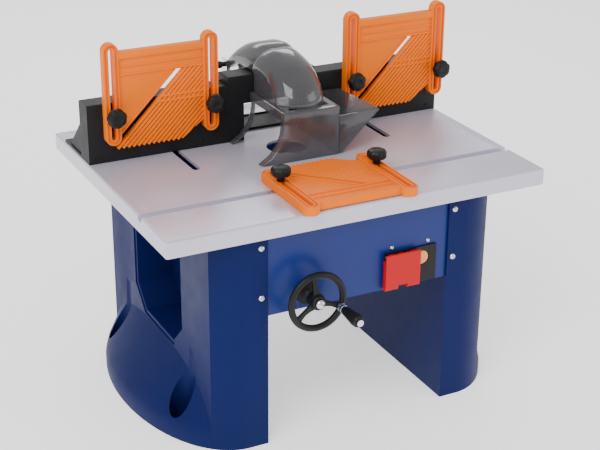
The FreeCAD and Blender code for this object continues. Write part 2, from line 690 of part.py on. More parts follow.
shaped("handwheel", make_handwheel())
shaped("wheel_nut", placed(domed_screw(7, 5, 2, 6), (WHEEL_X, WHEEL_Y - 10, WHEEL_Z), (0, -1, 0)))

GRIP_FOOT = wheel_point(GRIP_RADIUS_AT, CRANK_ANGLE, WHEEL_Y - 5)
axle = rod(3, 58, GRIP_FOOT + Vector(0, 4, 0), (0, -1, 0))
axle = axle.fuse(rod(6.5, 4, GRIP_FOOT + Vector(0, 2, 0), (0, -1, 0)))
axle = axle.fuse(rod(5, 1.5, GRIP_FOOT + Vector(0, -54, 0), (0, -1, 0)))
shaped("grip_axle", axle)


def make_grip():
    """A turned grip on the crank's axle: narrow by the rim, full at the outer end."""
    profile = [(0, 3 + GAP), (0, 6), (6, 7), (22, 8), (40, 9.5), (48, 9), (51.2, 6), (51.2, 3 + GAP)]
    face = face_of([(0, -along, across) for along, across in profile])
    grip = face.revolve(Vector(0, 0, 0), Vector(0, 1, 0), 360)
    grip.translate(GRIP_FOOT + Vector(0, -2.4, 0))
    return grip


shaped("crank_grip", make_grip())


# ---------------------------------------------------------------- fence

FENCE_Y = size("fence_front")
FENCE_BACK = FENCE_Y + size("fence_thick")
FENCE_HALF = size("fence_length") / 2
FENCE_FOOT = TOP + GAP
FENCE_TOP = TOP + size("fence_height")
FENCE_WALL = size("fence_wall")
SLOT_X = size("fence_slot_x")
CLAMP_Y = FENCE_BACK + 42
CLAMP_R = 4
BOARD_FACE = FENCE_Y - GAP
BOLT_R = size("bolt_radius")
LEFT_BOARD_X = -187.5
RIGHT_BOARD_X = 215.5
KNOB_Z = TOP + 78


def make_fence():
    """The fence moulding: a hollow beam with rounded top edges, a cutter opening and a flange."""
    beam = block(-FENCE_HALF, FENCE_HALF, FENCE_Y, FENCE_BACK, FENCE_FOOT, FENCE_TOP)
    beam = beam.makeFillet(2.5, [e for e in beam.Edges if e.BoundBox.ZMin > FENCE_TOP - 1
                                 and e.BoundBox.XLength > 100])
    core = block(-FENCE_HALF + FENCE_WALL, FENCE_HALF - FENCE_WALL, FENCE_Y + FENCE_WALL,
                 FENCE_BACK - FENCE_WALL, FENCE_FOOT - 1, FENCE_TOP - FENCE_WALL)
    flange = block(-FENCE_HALF, FENCE_HALF, FENCE_BACK - 1, FENCE_BACK + size("flange_depth"),
                   FENCE_FOOT, FENCE_FOOT + 4)
    webs = []
    for x in (-FENCE_HALF + 2, -100, 96, FENCE_HALF - 6):
        outline = [(FENCE_BACK - 1, FENCE_FOOT), (FENCE_BACK + 60, FENCE_FOOT), (FENCE_BACK - 1, FENCE_FOOT + 60)]
        webs.append(prism_x(outline, x, x + 4))
    fence = beam.cut(core).multiFuse([flange] + webs)
    half = size("throat_half")
    rise = size("throat_height")
    fence = fence.cut(block(-half, half, FENCE_Y - 1, FENCE_BACK + 1, FENCE_FOOT - 1, FENCE_FOOT + rise))
    duct_gap = block(-size("chute_half"), size("chute_half"), FENCE_Y - 1, FENCE_BACK + 1,
                     FENCE_TOP - 18, FENCE_TOP + 1)
    fence = fence.cut(duct_gap)
    for side in (-1, 1):
        fence = fence.cut(rod(CLAMP_R + 0.2, 10, (side * SLOT_X, CLAMP_Y, FENCE_FOOT - 2)))
    for board_x in (LEFT_BOARD_X, RIGHT_BOARD_X):
        for side in (-1, 1):
            x = board_x + side * size("arm_spacing") / 2
            if abs(x) + BOLT_R < FENCE_HALF:
                fence = fence.cut(rod(BOLT_R, FENCE_WALL + 2, (x, FENCE_Y - 1, KNOB_Z), (0, 1, 0)))
    return fence.removeSplitter()


shaped("fence_body", make_fence())


def make_chute():
    """The raised housing over the fence's cutter opening."""
    half = size("chute_half") - GAP
    low = FENCE_TOP - 18
    high = FENCE_TOP + size("chute_rise")
    shell = block(-half, half, FENCE_Y, FENCE_BACK, low, high)
    shell = shell.makeFillet(2, [e for e in shell.Edges if e.BoundBox.ZMin > high - 1])
    inside = block(-half + 3, half - 3, FENCE_Y + 3, FENCE_BACK - 3, low - 1, high - 3)
    return shell.cut(inside)


shaped("fence_chute", make_chute())

face_screws = [placed(domed_screw(2.6, 1, 1.5, 3.5), (x, FENCE_Y, FENCE_FOOT + 10), (0, -1, 0))
               for x in (-294, -120, 120, 286)]
shaped("fence_screws", group(face_screws))

clamp_bolts = []
for side in (-1, 1):
    bolt = rod(CLAMP_R, 28, (side * SLOT_X, CLAMP_Y, LEG_TOP - 6))
    head = block(side * SLOT_X - 11, side * SLOT_X + 11, CLAMP_Y - 8, CLAMP_Y + 8, LEG_TOP - 6, LEG_TOP - GAP)
    clamp_bolts.append(bolt.fuse(head))
shaped("fence_bolts", group(clamp_bolts))


# ---------------------------------------------------------------- knobs and featherboards

KNOB_HIGH = 23
KNOB_BORE = 0.565


def make_knob(radius, bolt, high=KNOB_HIGH):
    """A mushroom knob seated at the origin, facing +Z, with a blind bore for its bolt."""
    neck = max(0.4 * radius, bolt + 1.5)
    profile = [(0, 0), (neck, 0), (neck, 0.26 * high), (0.87 * radius, 0.39 * high),
               (radius, 0.52 * high), (radius, 0.78 * high), (0.8 * radius, 0.935 * high),
               (0.47 * radius, high), (0, high)]
    face = face_of([(across, 0, along) for across, along in profile])
    knob = face.revolve(Vector(0, 0, 0), Vector(0, 0, 1), 360)
    return knob.cut(rod(bolt + RUNNING, 1 + KNOB_BORE * high, (0, 0, -1)))


board_knob = make_knob(size("knob_radius"), BOLT_R)
fence_knob = make_knob(20, CLAMP_R)
THICK = size("board_thick")


def make_featherboard():
    """A featherboard standing in X and Z: centred on X = 0, its arms' feet at Z = 0, its back at Y = 0."""
    spacing = size("arm_spacing")
    length = size("arm_length")
    half_arm = size("arm_width") / 2
    web = size("web_thick")
    inner = spacing / 2 - half_arm
    top_bar = length - 14
    root = length - 52
    pieces = []
    for side in (-1, 1):
        x = side * spacing / 2
        arm = block(x - half_arm, x + half_arm, -THICK, 0, half_arm, length - half_arm)
        ends = [rod(half_arm, THICK, (x, 0, z), (0, -1, 0)) for z in (half_arm, length - half_arm)]
        pieces.append(arm.multiFuse(ends))
    back = -(THICK - web) / 2
    front = back - web
    slit_top = inner - 44
    plate_foot = root - (slit_top + inner + 1)
    panel = prism_y([(-inner - 1, top_bar), (-inner - 1, plate_foot), (slit_top, root),
                     (inner + 1, root), (inner + 1, top_bar)], front, back)
    rim = block(-inner - 1, inner + 1, front - 2.5, back + 2.5, top_bar - 11, top_bar)
    ledge = block(-inner - 1, inner + 1, front - 1.2, back, root, root + 4)
    pieces += [panel, rim, ledge]

    low = -8
    right_foot = 21
    tip_right = inner - 38
    left_top = inner - 29
    comb = prism_y([(left_top, root + 1), (left_top - (root - low), low), (tip_right, low),
                    (inner + 1, right_foot), (inner + 1, root + 1)], front, back)
    run = root - low
    pitch = size("finger_pitch")
    gap = size("finger_gap") * math.sqrt(2)
    cuts = []
    for i in range(1, 22):
        x = left_top + i * pitch
        outline = [(x, root - 4), (x + gap, root - 4), (x + gap - run - 8, low - 12), (x - run - 8, low - 12)]
        cuts.append(prism_y(outline, front - 1, back + 1))
    comb = comb.cut(group(cuts))
    pieces.append(comb)
    for z in (56, 64):
        pieces.append(block(slit_top - root + z - 2, inner + 1, front - 0.8, front + 1.5, z, z + 2.4))
    board = pieces[0].multiFuse(pieces[1:])
    slot_half = size("slot_width") / 2
    for side in (-1, 1):
        x = side * spacing / 2
        low_end = 11
        high_end = length - 13
        slot = block(x - slot_half, x + slot_half, -THICK - 1, 1, low_end, high_end)
        slot = slot.multiFuse([rod(slot_half, THICK + 2, (x, 1, z), (0, -1, 0)) for z in (low_end, high_end)])
        board = board.cut(slot)
    return board.removeSplitter()


featherboard = make_featherboard()
BOARD_FOOT = TOP + 30
for label, board_x in (("left_featherboard", LEFT_BOARD_X), ("right_featherboard", RIGHT_BOARD_X)):
    shaped(label, placed(featherboard, (board_x, BOARD_FACE, BOARD_FOOT)))

board_bolts = []
for board_name, board_x in (("left", LEFT_BOARD_X), ("right", RIGHT_BOARD_X)):
    for end_name, side in (("left", -1), ("right", 1)):
        x = board_x + side * size("arm_spacing") / 2
        board_bolts.append(rod(BOLT_R, THICK + 17, (x, FENCE_Y + FENCE_WALL, KNOB_Z), (0, -1, 0)))
        shaped(f"{board_name}_board_{end_name}_knob",
               placed(board_knob, (x, BOARD_FACE - THICK - GAP, KNOB_Z), (0, -1, 0)))
shaped("fence_board_bolts", group(board_bolts))

for side_name, side in (("left", -1), ("right", 1)):
    shaped(f"{side_name}_fence_knob", placed(fence_knob, (side * SLOT_X, CLAMP_Y, FENCE_FOOT + 4 + GAP)))

# The third board lies on the table and is held from the mitre slot.
TABLE_BOARD_X = -9.5
MITRE_Y = size("mitre_y")
BAR_HALF = 96
bar = block(TABLE_BOARD_X - BAR_HALF, TABLE_BOARD_X + BAR_HALF, MITRE_Y - size("mitre_width") / 2 + 0.25,
            MITRE_Y + size("mitre_width") / 2 - 0.25, TOP - size("mitre_deep") + GAP, TOP - 0.6)
shaped("mitre_bar", bar)
lying = featherboard.copy()
lying.rotate(Vector(0, 0, 0), Vector(1, 0, 0), 90)
lying.translate(Vector(TABLE_BOARD_X, MITRE_Y + 50, TOP + GAP + THICK))
shaped("table_featherboard", lying)
mitre_bolts = []
for end_name, side in (("left", -1), ("right", 1)):
    x = TABLE_BOARD_X + side * size("arm_spacing") / 2
    mitre_bolts.append(rod(BOLT_R, THICK + 17, (x, MITRE_Y, TOP - 4)))
    shaped(f"table_board_{end_name}_knob",
           placed(board_knob, (x, MITRE_Y, TOP + THICK + 2 * GAP)))
shaped("mitre_bolts", group(mitre_bolts))


# ---------------------------------------------------------------- chip guard and dust duct

GUARD_LEFT = size("guard_left")
GUARD_RIGHT = size("guard_right")
GUARD_FRONT = size("guard_front")
GUARD_TOP = size("guard_top")
GUARD_WALL = size("guard_wall")
GUARD_FOOT = TOP + 0.5
GUARD_BACK = FENCE_Y - GAP
DUCT_LEFT = size("duct_middle") - size("duct_half")
DUCT_RIGHT = size("duct_middle") + size("duct_half")


def guard_section(inset, foot):
    """The guard's outline in X and Z: flared at the left foot, upright at the right."""
    left = GUARD_LEFT + inset
    flare = size("guard_flare") + inset * 1.5
    top = GUARD_TOP - inset
    right = GUARD_RIGHT - inset
    return [(flare, foot), (flare + 18, GUARD_FOOT + 12), (left - 7, GUARD_FOOT + 27),
            (left - 1.5, GUARD_FOOT + 42), (left, GUARD_FOOT + 54), (left, top), (right, top), (right, foot)]


def make_hopper(inset, front, back):
    """The open chip hopper beside the guard: a wedge, narrower at the fence than at the front."""
    tip_z = size("wing_tip_z") + (1 if inset else 0)
    foot_z = GUARD_FOOT + inset
    rings = []
    for y, narrower in ((front, 0), (back, size("wing_taper"))):
        tip_x = size("wing_tip_x") - narrower - 1.5 * inset
        corners = [(GUARD_RIGHT - 1, y, foot_z), (GUARD_RIGHT + 6 - 0.5 * inset, y, foot_z),
                   (tip_x, y, tip_z), (GUARD_RIGHT - 1, y, tip_z)]
        if inset:
            corners[0] = (GUARD_RIGHT, y, foot_z)
            corners[3] = (GUARD_RIGHT, y, tip_z)
        rings.append(Part.makePolygon([Vector(*corner) for corner in corners + [corners[0]]]))
    return Part.makeLoft(rings, True, True)


def make_guard():
    shell = prism_y(guard_section(0, GUARD_FOOT), GUARD_FRONT, GUARD_BACK)
    hollow = prism_y(guard_section(GUARD_WALL, GUARD_FOOT - 1), GUARD_FRONT + GUARD_WALL, GUARD_BACK + 1)
    guard = shell.cut(hollow)
    window_top = GUARD_TOP - 14
    window = block(-100, GUARD_LEFT + 8, GUARD_FRONT + 14, GUARD_BACK - 12, GUARD_FOOT - 1, window_top)
    guard = guard.cut(window)
    duct_hole = block(DUCT_LEFT + GUARD_WALL, DUCT_RIGHT - GUARD_WALL, GUARD_FRONT + 15, GUARD_BACK - 3,
                      GUARD_TOP - 6, GUARD_TOP + 1)
    guard = guard.cut(duct_hole)

    mouth_edge = size("throat_half") - 2
    relief = block(size("guard_flare") - 1, mouth_edge, GUARD_BACK - 3, GUARD_BACK + 1,
                   GUARD_FOOT - 1, FENCE_FOOT + size("throat_height") - 2.5)
    guard = guard.cut(relief)

    wall = GUARD_WALL
    hopper = make_hopper(0, GUARD_FRONT, GUARD_BACK)
    hopper = hopper.cut(make_hopper(wall, GUARD_FRONT + wall, GUARD_BACK - wall))
    return guard.fuse(hopper).removeSplitter()


shaped("guard_box", make_guard())

CHUTE_TOP = FENCE_TOP + size("chute_rise")
PORT_Y = FENCE_BACK + 42
PORT_OUTER = 29
PORT_INNER = 26.5
PORT_FOOT = 415
PORT_SEAT = 30
CHEEK_Y = (FENCE_BACK + 56, FENCE_BACK + 76)
HOOD_BOLT_Y = FENCE_BACK + 66
HOOD_BOLT_Z = 456
HOOD_BOLT_R = 2.5
DUCT_PROFILE = [(-34, GUARD_TOP), (-25, 462), (-4, 484), (22, 500), (50, 508), (80, 511), (112, 511),
                (142, 503), (165, 488), (182, 468), (187, 452), (170, 449), (150, 459), (130, CHUTE_TOP + 2),
                (GUARD_BACK, CHUTE_TOP + 2), (GUARD_BACK, GUARD_TOP)]


def make_duct():
    """The dust duct: up from the guard, over the fence and down to a round hose spigot."""
    outline = face_of([(0, y, z) for y, z in DUCT_PROFILE])
    inset = outline.makeOffset2D(-GUARD_WALL)
    width = DUCT_RIGHT - DUCT_LEFT
    outside = outline.extrude(Vector(width, 0, 0))
    outside.translate(Vector(DUCT_LEFT, 0, 0))
    inside = inset.extrude(Vector(width - 2 * GUARD_WALL, 0, 0))
    inside.translate(Vector(DUCT_LEFT + GUARD_WALL, 0, 0))
    mouth = block(DUCT_LEFT + GUARD_WALL, DUCT_RIGHT - GUARD_WALL, -30, GUARD_BACK - 3,
                  GUARD_TOP - 1, GUARD_TOP + 6)
    middle = size("duct_middle")
    spigot = rod(PORT_OUTER, 470 - PORT_FOOT, (middle, PORT_Y, PORT_FOOT))
    shoulder = rod(PORT_OUTER + 2, 470 - PORT_FOOT - PORT_SEAT, (middle, PORT_Y, PORT_FOOT + PORT_SEAT))
    bore = rod(PORT_INNER, 480 - PORT_FOOT, (middle, PORT_Y, PORT_FOOT - 1))
    cheeks = []
    for x in (DUCT_LEFT, DUCT_RIGHT - GUARD_WALL):
        cheek = block(x, x + GUARD_WALL, CHEEK_Y[0], CHEEK_Y[1], 426, 462)
        slot = block(x - 1, x + 4, HOOD_BOLT_Y - 3.2, HOOD_BOLT_Y + 3.2, 433, HOOD_BOLT_Z)
        slot = slot.fuse(rod(3.2, 5, (x - 1, HOOD_BOLT_Y, HOOD_BOLT_Z), (1, 0, 0)))
        cheeks.append((cheek, slot))
    duct = outside.multiFuse([spigot, shoulder] + [cheek for cheek, slot in cheeks])
    duct = duct.cut(inside.multiFuse([mouth, bore]))
    for cheek, slot in cheeks:
        duct = duct.cut(slot)
    return duct.removeSplitter()


shaped("dust_duct", make_duct())


def make_hood_bracket():
    """A steel U on the fence's flange whose ears carry the duct's two clamp bolts."""
    foot = FENCE_FOOT + 4
    left = DUCT_LEFT - GAP - 3
    right = DUCT_RIGHT + GAP
    plate = block(left, right + 3, HOOD_BOLT_Y - 10, HOOD_BOLT_Y + 10, foot, foot + 3)
    ears = [block(x, x + 3, HOOD_BOLT_Y - 10, HOOD_BOLT_Y + 10, foot, HOOD_BOLT_Z + 9) for x in (left, right)]
    long = 13
    reach = GUARD_WALL + GAP + 0.2
    bolts = [rod(HOOD_BOLT_R, long, (left + 3 + reach, HOOD_BOLT_Y, HOOD_BOLT_Z), (-1, 0, 0)),
             rod(HOOD_BOLT_R, long, (right - reach, HOOD_BOLT_Y, HOOD_BOLT_Z), (1, 0, 0))]
    return plate.multiFuse(ears + bolts).removeSplitter()


shaped("hood_bracket", make_hood_bracket())
hood_knob = make_knob(6, HOOD_BOLT_R, 12)
shaped("left_hood_knob", placed(hood_knob, (DUCT_LEFT - 2 * GAP - 3, HOOD_BOLT_Y, HOOD_BOLT_Z), (-1, 0, 0)))
shaped("right_hood_knob", placed(hood_knob, (DUCT_RIGHT + 2 * GAP + 3, HOOD_BOLT_Y, HOOD_BOLT_Z), (1, 0, 0)))


# ---------------------------------------------------------------- check and write

doc.recompute()
for feature in doc.Objects:
    if "Invalid" in feature.State or "Error" in feature.State:
        raise RuntimeError(f"{feature.Name} failed: {feature.State}")

os.makedirs("parts", exist_ok=True)
for part in parts:
    shape = part.Shape
    if shape.isNull() or not shape.isValid() or not shape.Solids:
        raise RuntimeError(f"{part.Label} has no valid solid")
    shape.exportStep(f"parts/{part.Label}.step")
    print(f"{part.Label:28s} solids {len(shape.Solids):2d}  volume {shape.Volume / 1000:9.2f} cm3")
print(len(parts), "sub-parts")
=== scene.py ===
# %% [markdown]
# # A bench router table
# A router table holds a small milling motor upside down under a flat top, with a fence to guide the
# wood, springy featherboards to press it, and a hood that catches the chips. Its working model comes
# from CAD and is loaded first, as a fixed frame. Each cell after that dresses it: it gives a CAD part
# a better finish, or models a better-looking piece that stands for the CAD part and rides on the same
# body. Everything could be modelled here from nothing, but then it might not fit the joints, so places
# come from the frame. Sizes are in metres.

# %% Load the frame
import bpy
import bmesh
import json
import math
from mathutils import Matrix, Vector


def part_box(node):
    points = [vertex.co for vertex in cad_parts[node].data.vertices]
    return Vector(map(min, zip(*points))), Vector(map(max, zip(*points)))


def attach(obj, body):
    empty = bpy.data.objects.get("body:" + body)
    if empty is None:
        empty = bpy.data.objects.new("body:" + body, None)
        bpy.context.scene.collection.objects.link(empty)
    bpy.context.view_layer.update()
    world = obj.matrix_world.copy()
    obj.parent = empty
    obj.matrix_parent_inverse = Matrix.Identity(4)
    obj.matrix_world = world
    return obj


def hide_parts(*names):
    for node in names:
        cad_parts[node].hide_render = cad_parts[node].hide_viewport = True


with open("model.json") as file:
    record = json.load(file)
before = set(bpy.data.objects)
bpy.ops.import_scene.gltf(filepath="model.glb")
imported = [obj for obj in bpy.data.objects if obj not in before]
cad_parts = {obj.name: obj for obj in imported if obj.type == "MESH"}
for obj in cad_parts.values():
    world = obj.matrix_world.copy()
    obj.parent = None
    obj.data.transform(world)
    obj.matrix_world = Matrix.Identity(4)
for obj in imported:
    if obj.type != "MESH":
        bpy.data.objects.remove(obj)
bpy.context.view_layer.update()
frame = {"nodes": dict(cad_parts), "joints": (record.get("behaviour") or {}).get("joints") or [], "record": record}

scene = bpy.context.scene
MM = 0.001
X, Y, Z = Vector((1, 0, 0)), Vector((0, 1, 0)), Vector((0, 0, 1))
body_of = {node: body for body, nodes in frame["record"]["behaviour"]["bodies"].items() for node in nodes}

# %% [markdown]
# ## Camera
# A long lens from the front left and above shows the top, the front and the left side at once. The
# camera's three axes are worked out from an azimuth, an elevation and a very small roll, which is
# easier to adjust than Euler angles.

# %% Camera
AZIMUTH, ELEVATION, ROLL = (math.radians(angle) for angle in (-27.218, 23.749, 0.471))
towards_camera = Vector((math.sin(AZIMUTH) * math.cos(ELEVATION),
                         -math.cos(AZIMUTH) * math.cos(ELEVATION), math.sin(ELEVATION)))
level_right = (-towards_camera).cross(Z).normalized()
level_up = level_right.cross(-towards_camera)
camera_right = level_right * math.cos(ROLL) + level_up * math.sin(ROLL)
camera_up = level_up * math.cos(ROLL) - level_right * math.sin(ROLL)
camera_data = bpy.data.cameras.new("camera")
camera_data.lens = 83.28
camera = bpy.data.objects.new("camera", camera_data)
axes = Matrix((camera_right, camera_up, towards_camera)).transposed().to_4x4()
camera.matrix_world = Matrix.Translation((-0.9078, -1.7920, 1.1197)) @ axes
scene.collection.objects.link(camera)
scene.camera = camera
print("camera looks along", tuple(round(v, 3) for v in -towards_camera))

# %% [markdown]
# ## Shader sums
# A finish is a small graph of nodes. Its sums could be wired one Math node at a time, but that hides
# what the graph says, so one class wraps a socket and lets Python's operators add the Math nodes.


# %% The wrapped socket
class Wire:
    """A number that varies over a surface: the output of a node."""

    def __init__(self, finish, socket):
        self.finish = finish
        self.socket = socket

    def maths(self, operation, first, second):
        return self.finish.node("ShaderNodeMath", {"operation": operation}, {0: first, 1: second})

    def __add__(self, other):
        return self.maths("ADD", self, other)

    def __sub__(self, other):
        return self.maths("SUBTRACT", self, other)

    def __rsub__(self, other):
        return self.maths("SUBTRACT", other, self)

    def __mul__(self, other):
        return self.maths("MULTIPLY", self, other)

    __radd__ = __add__
    __rmul__ = __mul__


print("sums of sockets:", [name for name in vars(Wire) if name.startswith("__") and name.endswith("d__")])

# %% [markdown]
# Every finish here is one Principled shader with a few nodes in front of it. A node group could hold
# that, but a class reads more plainly. All of its nodes come from one method, which sets a node's own
# settings first and then its sockets, and patterns read Object coordinates, so that they stay on the
# piece when it moves.


# %% The finish
class Finish:
    """A material built round one Principled shader, on Object coordinates."""

    def __init__(self, name, **shader_sockets):
        self.material = bpy.data.materials.new(name)
        self.material.use_nodes = True
        self.tree = self.material.node_tree
        self.tree.nodes.clear()
        self.shader = self.tree.nodes.new("ShaderNodeBsdfPrincipled")
        self.output = self.tree.nodes.new("ShaderNodeOutputMaterial")
        self.tree.links.new(self.shader.outputs[0], self.output.inputs["Surface"])
        for socket, value in shader_sockets.items():
            self.shader.inputs[socket.replace("_", " ")].default_value = value
        self.place = self.node("ShaderNodeTexCoord", {}, {}, "Object")

    def node(self, kind, settings, sockets, output=0):
        node = self.tree.nodes.new(kind)
        for setting, value in settings.items():
            setattr(node, setting, value)
        for socket, value in sockets.items():
            self.feed(node.inputs[socket], value)
        return Wire(self, node.outputs[output])

    def feed(self, socket, value):
        if isinstance(value, Wire):
            self.tree.links.new(value.socket, socket)
        else:
            socket.default_value = value

    def stretched(self, x, y, z):
        """Object coordinates multiplied along each axis."""
        return self.node("ShaderNodeMapping", {}, {"Vector": self.place, "Scale": (x, y, z)})

    def noise(self, scale, detail=2.0, where=None):
        return self.node("ShaderNodeTexNoise", {}, {"Vector": where or self.place, "Scale": scale,
                                                    "Detail": detail})

    def blend(self, amount, first, second):
        """A colour between two colours."""
        return self.node("ShaderNodeMix", {"data_type": "RGBA"}, {0: amount, 6: first, 7: second}, 2)

    def bump(self, height, distance):
        tilted = self.node("ShaderNodeBump", {}, {"Height": height, "Distance": distance})
        self.feed(self.shader.inputs["Normal"], tilted)

    def vary(self, colour_wire=None, roughness=None, alpha=None):
        for socket, wire in (("Base Color", colour_wire), ("Roughness", roughness), ("Alpha", alpha)):
            if wire is not None:
                self.feed(self.shader.inputs[socket], wire)


def tint(colour, factor):
    return tuple(min(1.0, channel * factor) for channel in colour[:3]) + (1.0,)


print("half as bright as white:", tint((1.0, 1.0, 1.0), 0.5))

# %% [markdown]
# ## Finishes
# The legs, featherboards, knobs and switch are moulded plastic, which is never one flat colour: the
# tool leaves a fine grain, handling polishes it in patches, and thick and thin walls shrink into a slow
# waviness. A picture of plastic could be wrapped round each piece, but it would stretch and repeat, so
# three noises at three scales give it instead: under a millimetre for the grain, centimetres for the
# polish, decimetres for the tone.


# %% Moulded plastics
def moulded(name, colour, roughness, grain=0.00004, waviness=0.12, shine=0.25):
    finish = Finish(name, Roughness=roughness, Specular_IOR_Level=shine, IOR=1.49)
    tone = finish.noise(7.0, 3.0)
    patches = finish.noise(38.0, 4.0)
    fine = finish.noise(1400.0, 2.0)
    finish.vary(colour_wire=finish.blend(tone, tint(colour, 1 - waviness), tint(colour, 1 + waviness)),
                roughness=roughness - 0.06 + patches * 0.16)
    finish.bump(fine * 0.7 + patches * 0.6, grain * 3)
    return finish.material


navy_plastic = moulded("navy_plastic", (0.0028, 0.0085, 0.0780), 0.47, grain=0.00005, shine=0.12)
orange_plastic = moulded("orange_plastic", (0.93, 0.185, 0.0), 0.44, waviness=0.05, shine=0.12)
black_plastic = moulded("black_plastic", (0.0080, 0.0080, 0.0090), 0.42, waviness=0.25)
fence_black = moulded("fence_black", (0.0090, 0.0090, 0.0105), 0.50, grain=0.00007, waviness=0.25)
red_plastic = moulded("red_plastic", (0.52, 0.0, 0.003), 0.34, waviness=0.06)
green_plastic = moulded("green_plastic", (0.01, 0.28, 0.05), 0.34, waviness=0.06)
amber_plastic = moulded("amber_plastic", (0.95, 0.36, 0.12), 0.36, waviness=0.06)
print("plastics:", [m.name for m in bpy.data.materials if "plastic" in m.name])

# %% [markdown]
# The front and rear panels are painted sheet steel, whose wet gloss has a faint orange-peel skin. It
# could be displaced into the mesh, but at three millimetres across a low bump is enough. The table top
# is clear-coated cast aluminium, duller, with cloudy patches where the casting is more or less dense,
# so its colour and its roughness share one cloudy noise.


# %% Paint and coated casting
def painted_steel(name, colour):
    finish = Finish(name, Roughness=0.38, Specular_IOR_Level=0.3, Coat_Weight=0.1, Coat_Roughness=0.2)
    peel = finish.noise(330.0, 1.0)
    tone = finish.noise(11.0, 3.0)
    finish.vary(colour_wire=finish.blend(tone, tint(colour, 0.9), tint(colour, 1.1)),
                roughness=0.32 + tone * 0.14)
    finish.bump(peel, 0.00006)
    return finish.material


def coated_casting(name, colour):
    finish = Finish(name, Roughness=0.34, Metallic=0.25, Coat_Weight=0.35, Coat_Roughness=0.2)
    clouds = finish.noise(13.0, 5.0)
    grit = finish.noise(900.0, 3.0)
    drawn = finish.noise(30.0, 2.0, finish.stretched(60.0, 1.0, 1.0))
    tone = clouds * 0.7 + drawn * 0.3
    finish.vary(colour_wire=finish.blend(tone, tint(colour, 0.86), tint(colour, 1.1)),
                roughness=0.22 + tone * 0.24)
    finish.bump(grit + drawn * 0.5, 0.00005)
    return finish.material


blue_paint = painted_steel("blue_paint", (0.0015, 0.0150, 0.1500))
table_casting = coated_casting("table_casting", (0.60, 0.580, 0.690))
insert_plate = coated_casting("insert_plate", (0.66, 0.63, 0.69))
print("paint and castings:", blue_paint.name, table_casting.name, insert_plate.name)

# %% [markdown]
# Shafts, screws and columns are bright metal, and bright metal is all in its roughness: turned and
# ground steel carries fine rings or lines from the tool. An anisotropic shader could blur the
# highlights as those lines do, but a noise stretched hard across the tool's path shows the lines
# themselves, and feeds both roughness and bump.


# %% Metals
def metal(name, colour, roughness, lines=(1.0, 1.0, 40.0), depth=0.00002):
    finish = Finish(name, Metallic=1.0, Roughness=roughness)
    tool_marks = finish.noise(60.0, 3.0, finish.stretched(*lines))
    smear = finish.noise(25.0, 3.0)
    finish.vary(colour_wire=finish.blend(smear, tint(colour, 0.88), tint(colour, 1.06)),
                roughness=roughness - 0.08 + tool_marks * 0.12 + smear * 0.08)
    finish.bump(tool_marks, depth)
    return finish.material


zinc = metal("zinc_plate", (0.72, 0.72, 0.74), 0.24, lines=(8.0, 8.0, 8.0))
ground_steel = metal("ground_steel", (0.62, 0.62, 0.64), 0.28)
bronze = metal("bronze", (0.62, 0.42, 0.20), 0.34)
cast_metal = metal("cast_metal", (0.46, 0.46, 0.47), 0.52, lines=(12.0, 12.0, 12.0), depth=0.0003)
print("metals:", [finish.name for finish in (zinc, ground_steel, bronze, cast_metal)])

# %% [markdown]
# The hood is smoked, see-through plastic. Transmission would bend the light as a real pane does, but
# a thin pane hardly bends it and takes long to render, so the pane is partly transparent by alpha. It
# looks darker and shinier where the eye grazes it, so alpha grows with a Layer Weight, which only asks
# how the surface faces the ray. Faint moulding streaks keep it from being a perfect pane.

# %% Smoked plastic
smoked = Finish("smoked_plastic", Roughness=0.12, IOR=1.58, Coat_Weight=0.5, Coat_Roughness=0.05)
grazing = smoked.node("ShaderNodeLayerWeight", {}, {"Blend": 0.35}, "Facing")
streaks = smoked.noise(16.0, 3.0, smoked.stretched(1.0, 1.0, 2.5))
smoked.vary(colour_wire=smoked.blend(streaks, (0.050, 0.050, 0.056, 1.0), (0.105, 0.104, 0.112, 1.0)),
            roughness=0.08 + streaks * 0.14,
            alpha=0.46 + streaks * 0.14 + grazing * 0.42)
smoked.bump(streaks, 0.0006)
smoked_plastic = smoked.material
print("smoked plastic:", len(smoked.tree.nodes), "nodes")

# %% [markdown]
# ## Mesh helpers
# Most pieces of the table are turned, like its knobs, or flat and thick, like its boards. A spun
# profile gives the first and an extruded outline the second, with far fewer points to think about than
# a mesh drawn face by face.


# %% Spin and extrude
def lathe(mesh, profile, foot, axis, steps=48):
    """Spin a profile of (radius, along) points about an axis through a foot point."""
    side = axis.orthogonal().normalized()
    points = [mesh.verts.new(foot + side * radius + axis * along) for radius, along in profile]
    edges = [mesh.edges.new(pair) for pair in zip(points, points[1:])]
    bmesh.ops.spin(mesh, geom=points + edges, cent=foot, axis=axis, angle=2 * math.pi, steps=steps,
                   use_merge=True)
    bmesh.ops.remove_doubles(mesh, verts=mesh.verts, dist=1e-6)


def extruded(mesh, outline, along):
    """A closed prism: a flat outline of points, moved along a vector."""
    face = mesh.faces.new([mesh.verts.new(point) for point in outline])
    made = bmesh.ops.extrude_face_region(mesh, geom=[face])
    moved = [item for item in made["geom"] if isinstance(item, bmesh.types.BMVert)]
    bmesh.ops.translate(mesh, verts=moved, vec=along)


def slab(mesh, low, high):
    made = bmesh.ops.create_cube(mesh, size=1)
    bmesh.ops.scale(mesh, verts=made["verts"], vec=Vector(high) - Vector(low))
    bmesh.ops.translate(mesh, verts=made["verts"], vec=(Vector(high) + Vector(low)) / 2)


trial = bmesh.new()
slab(trial, (0, 0, 0), (MM, MM, MM))
print("a slab has", len(trial.faces), "faces")
trial.free()

# %% [markdown]
# Rounding is what makes a moulded piece look real, because every true edge catches a thin line of
# light. A Bevel modifier could do it at the end, but some pieces are rounded before they are joined, so
# it is an operator here. A row of rings can't be extruded, so its skin is laid in quads, ring by ring.


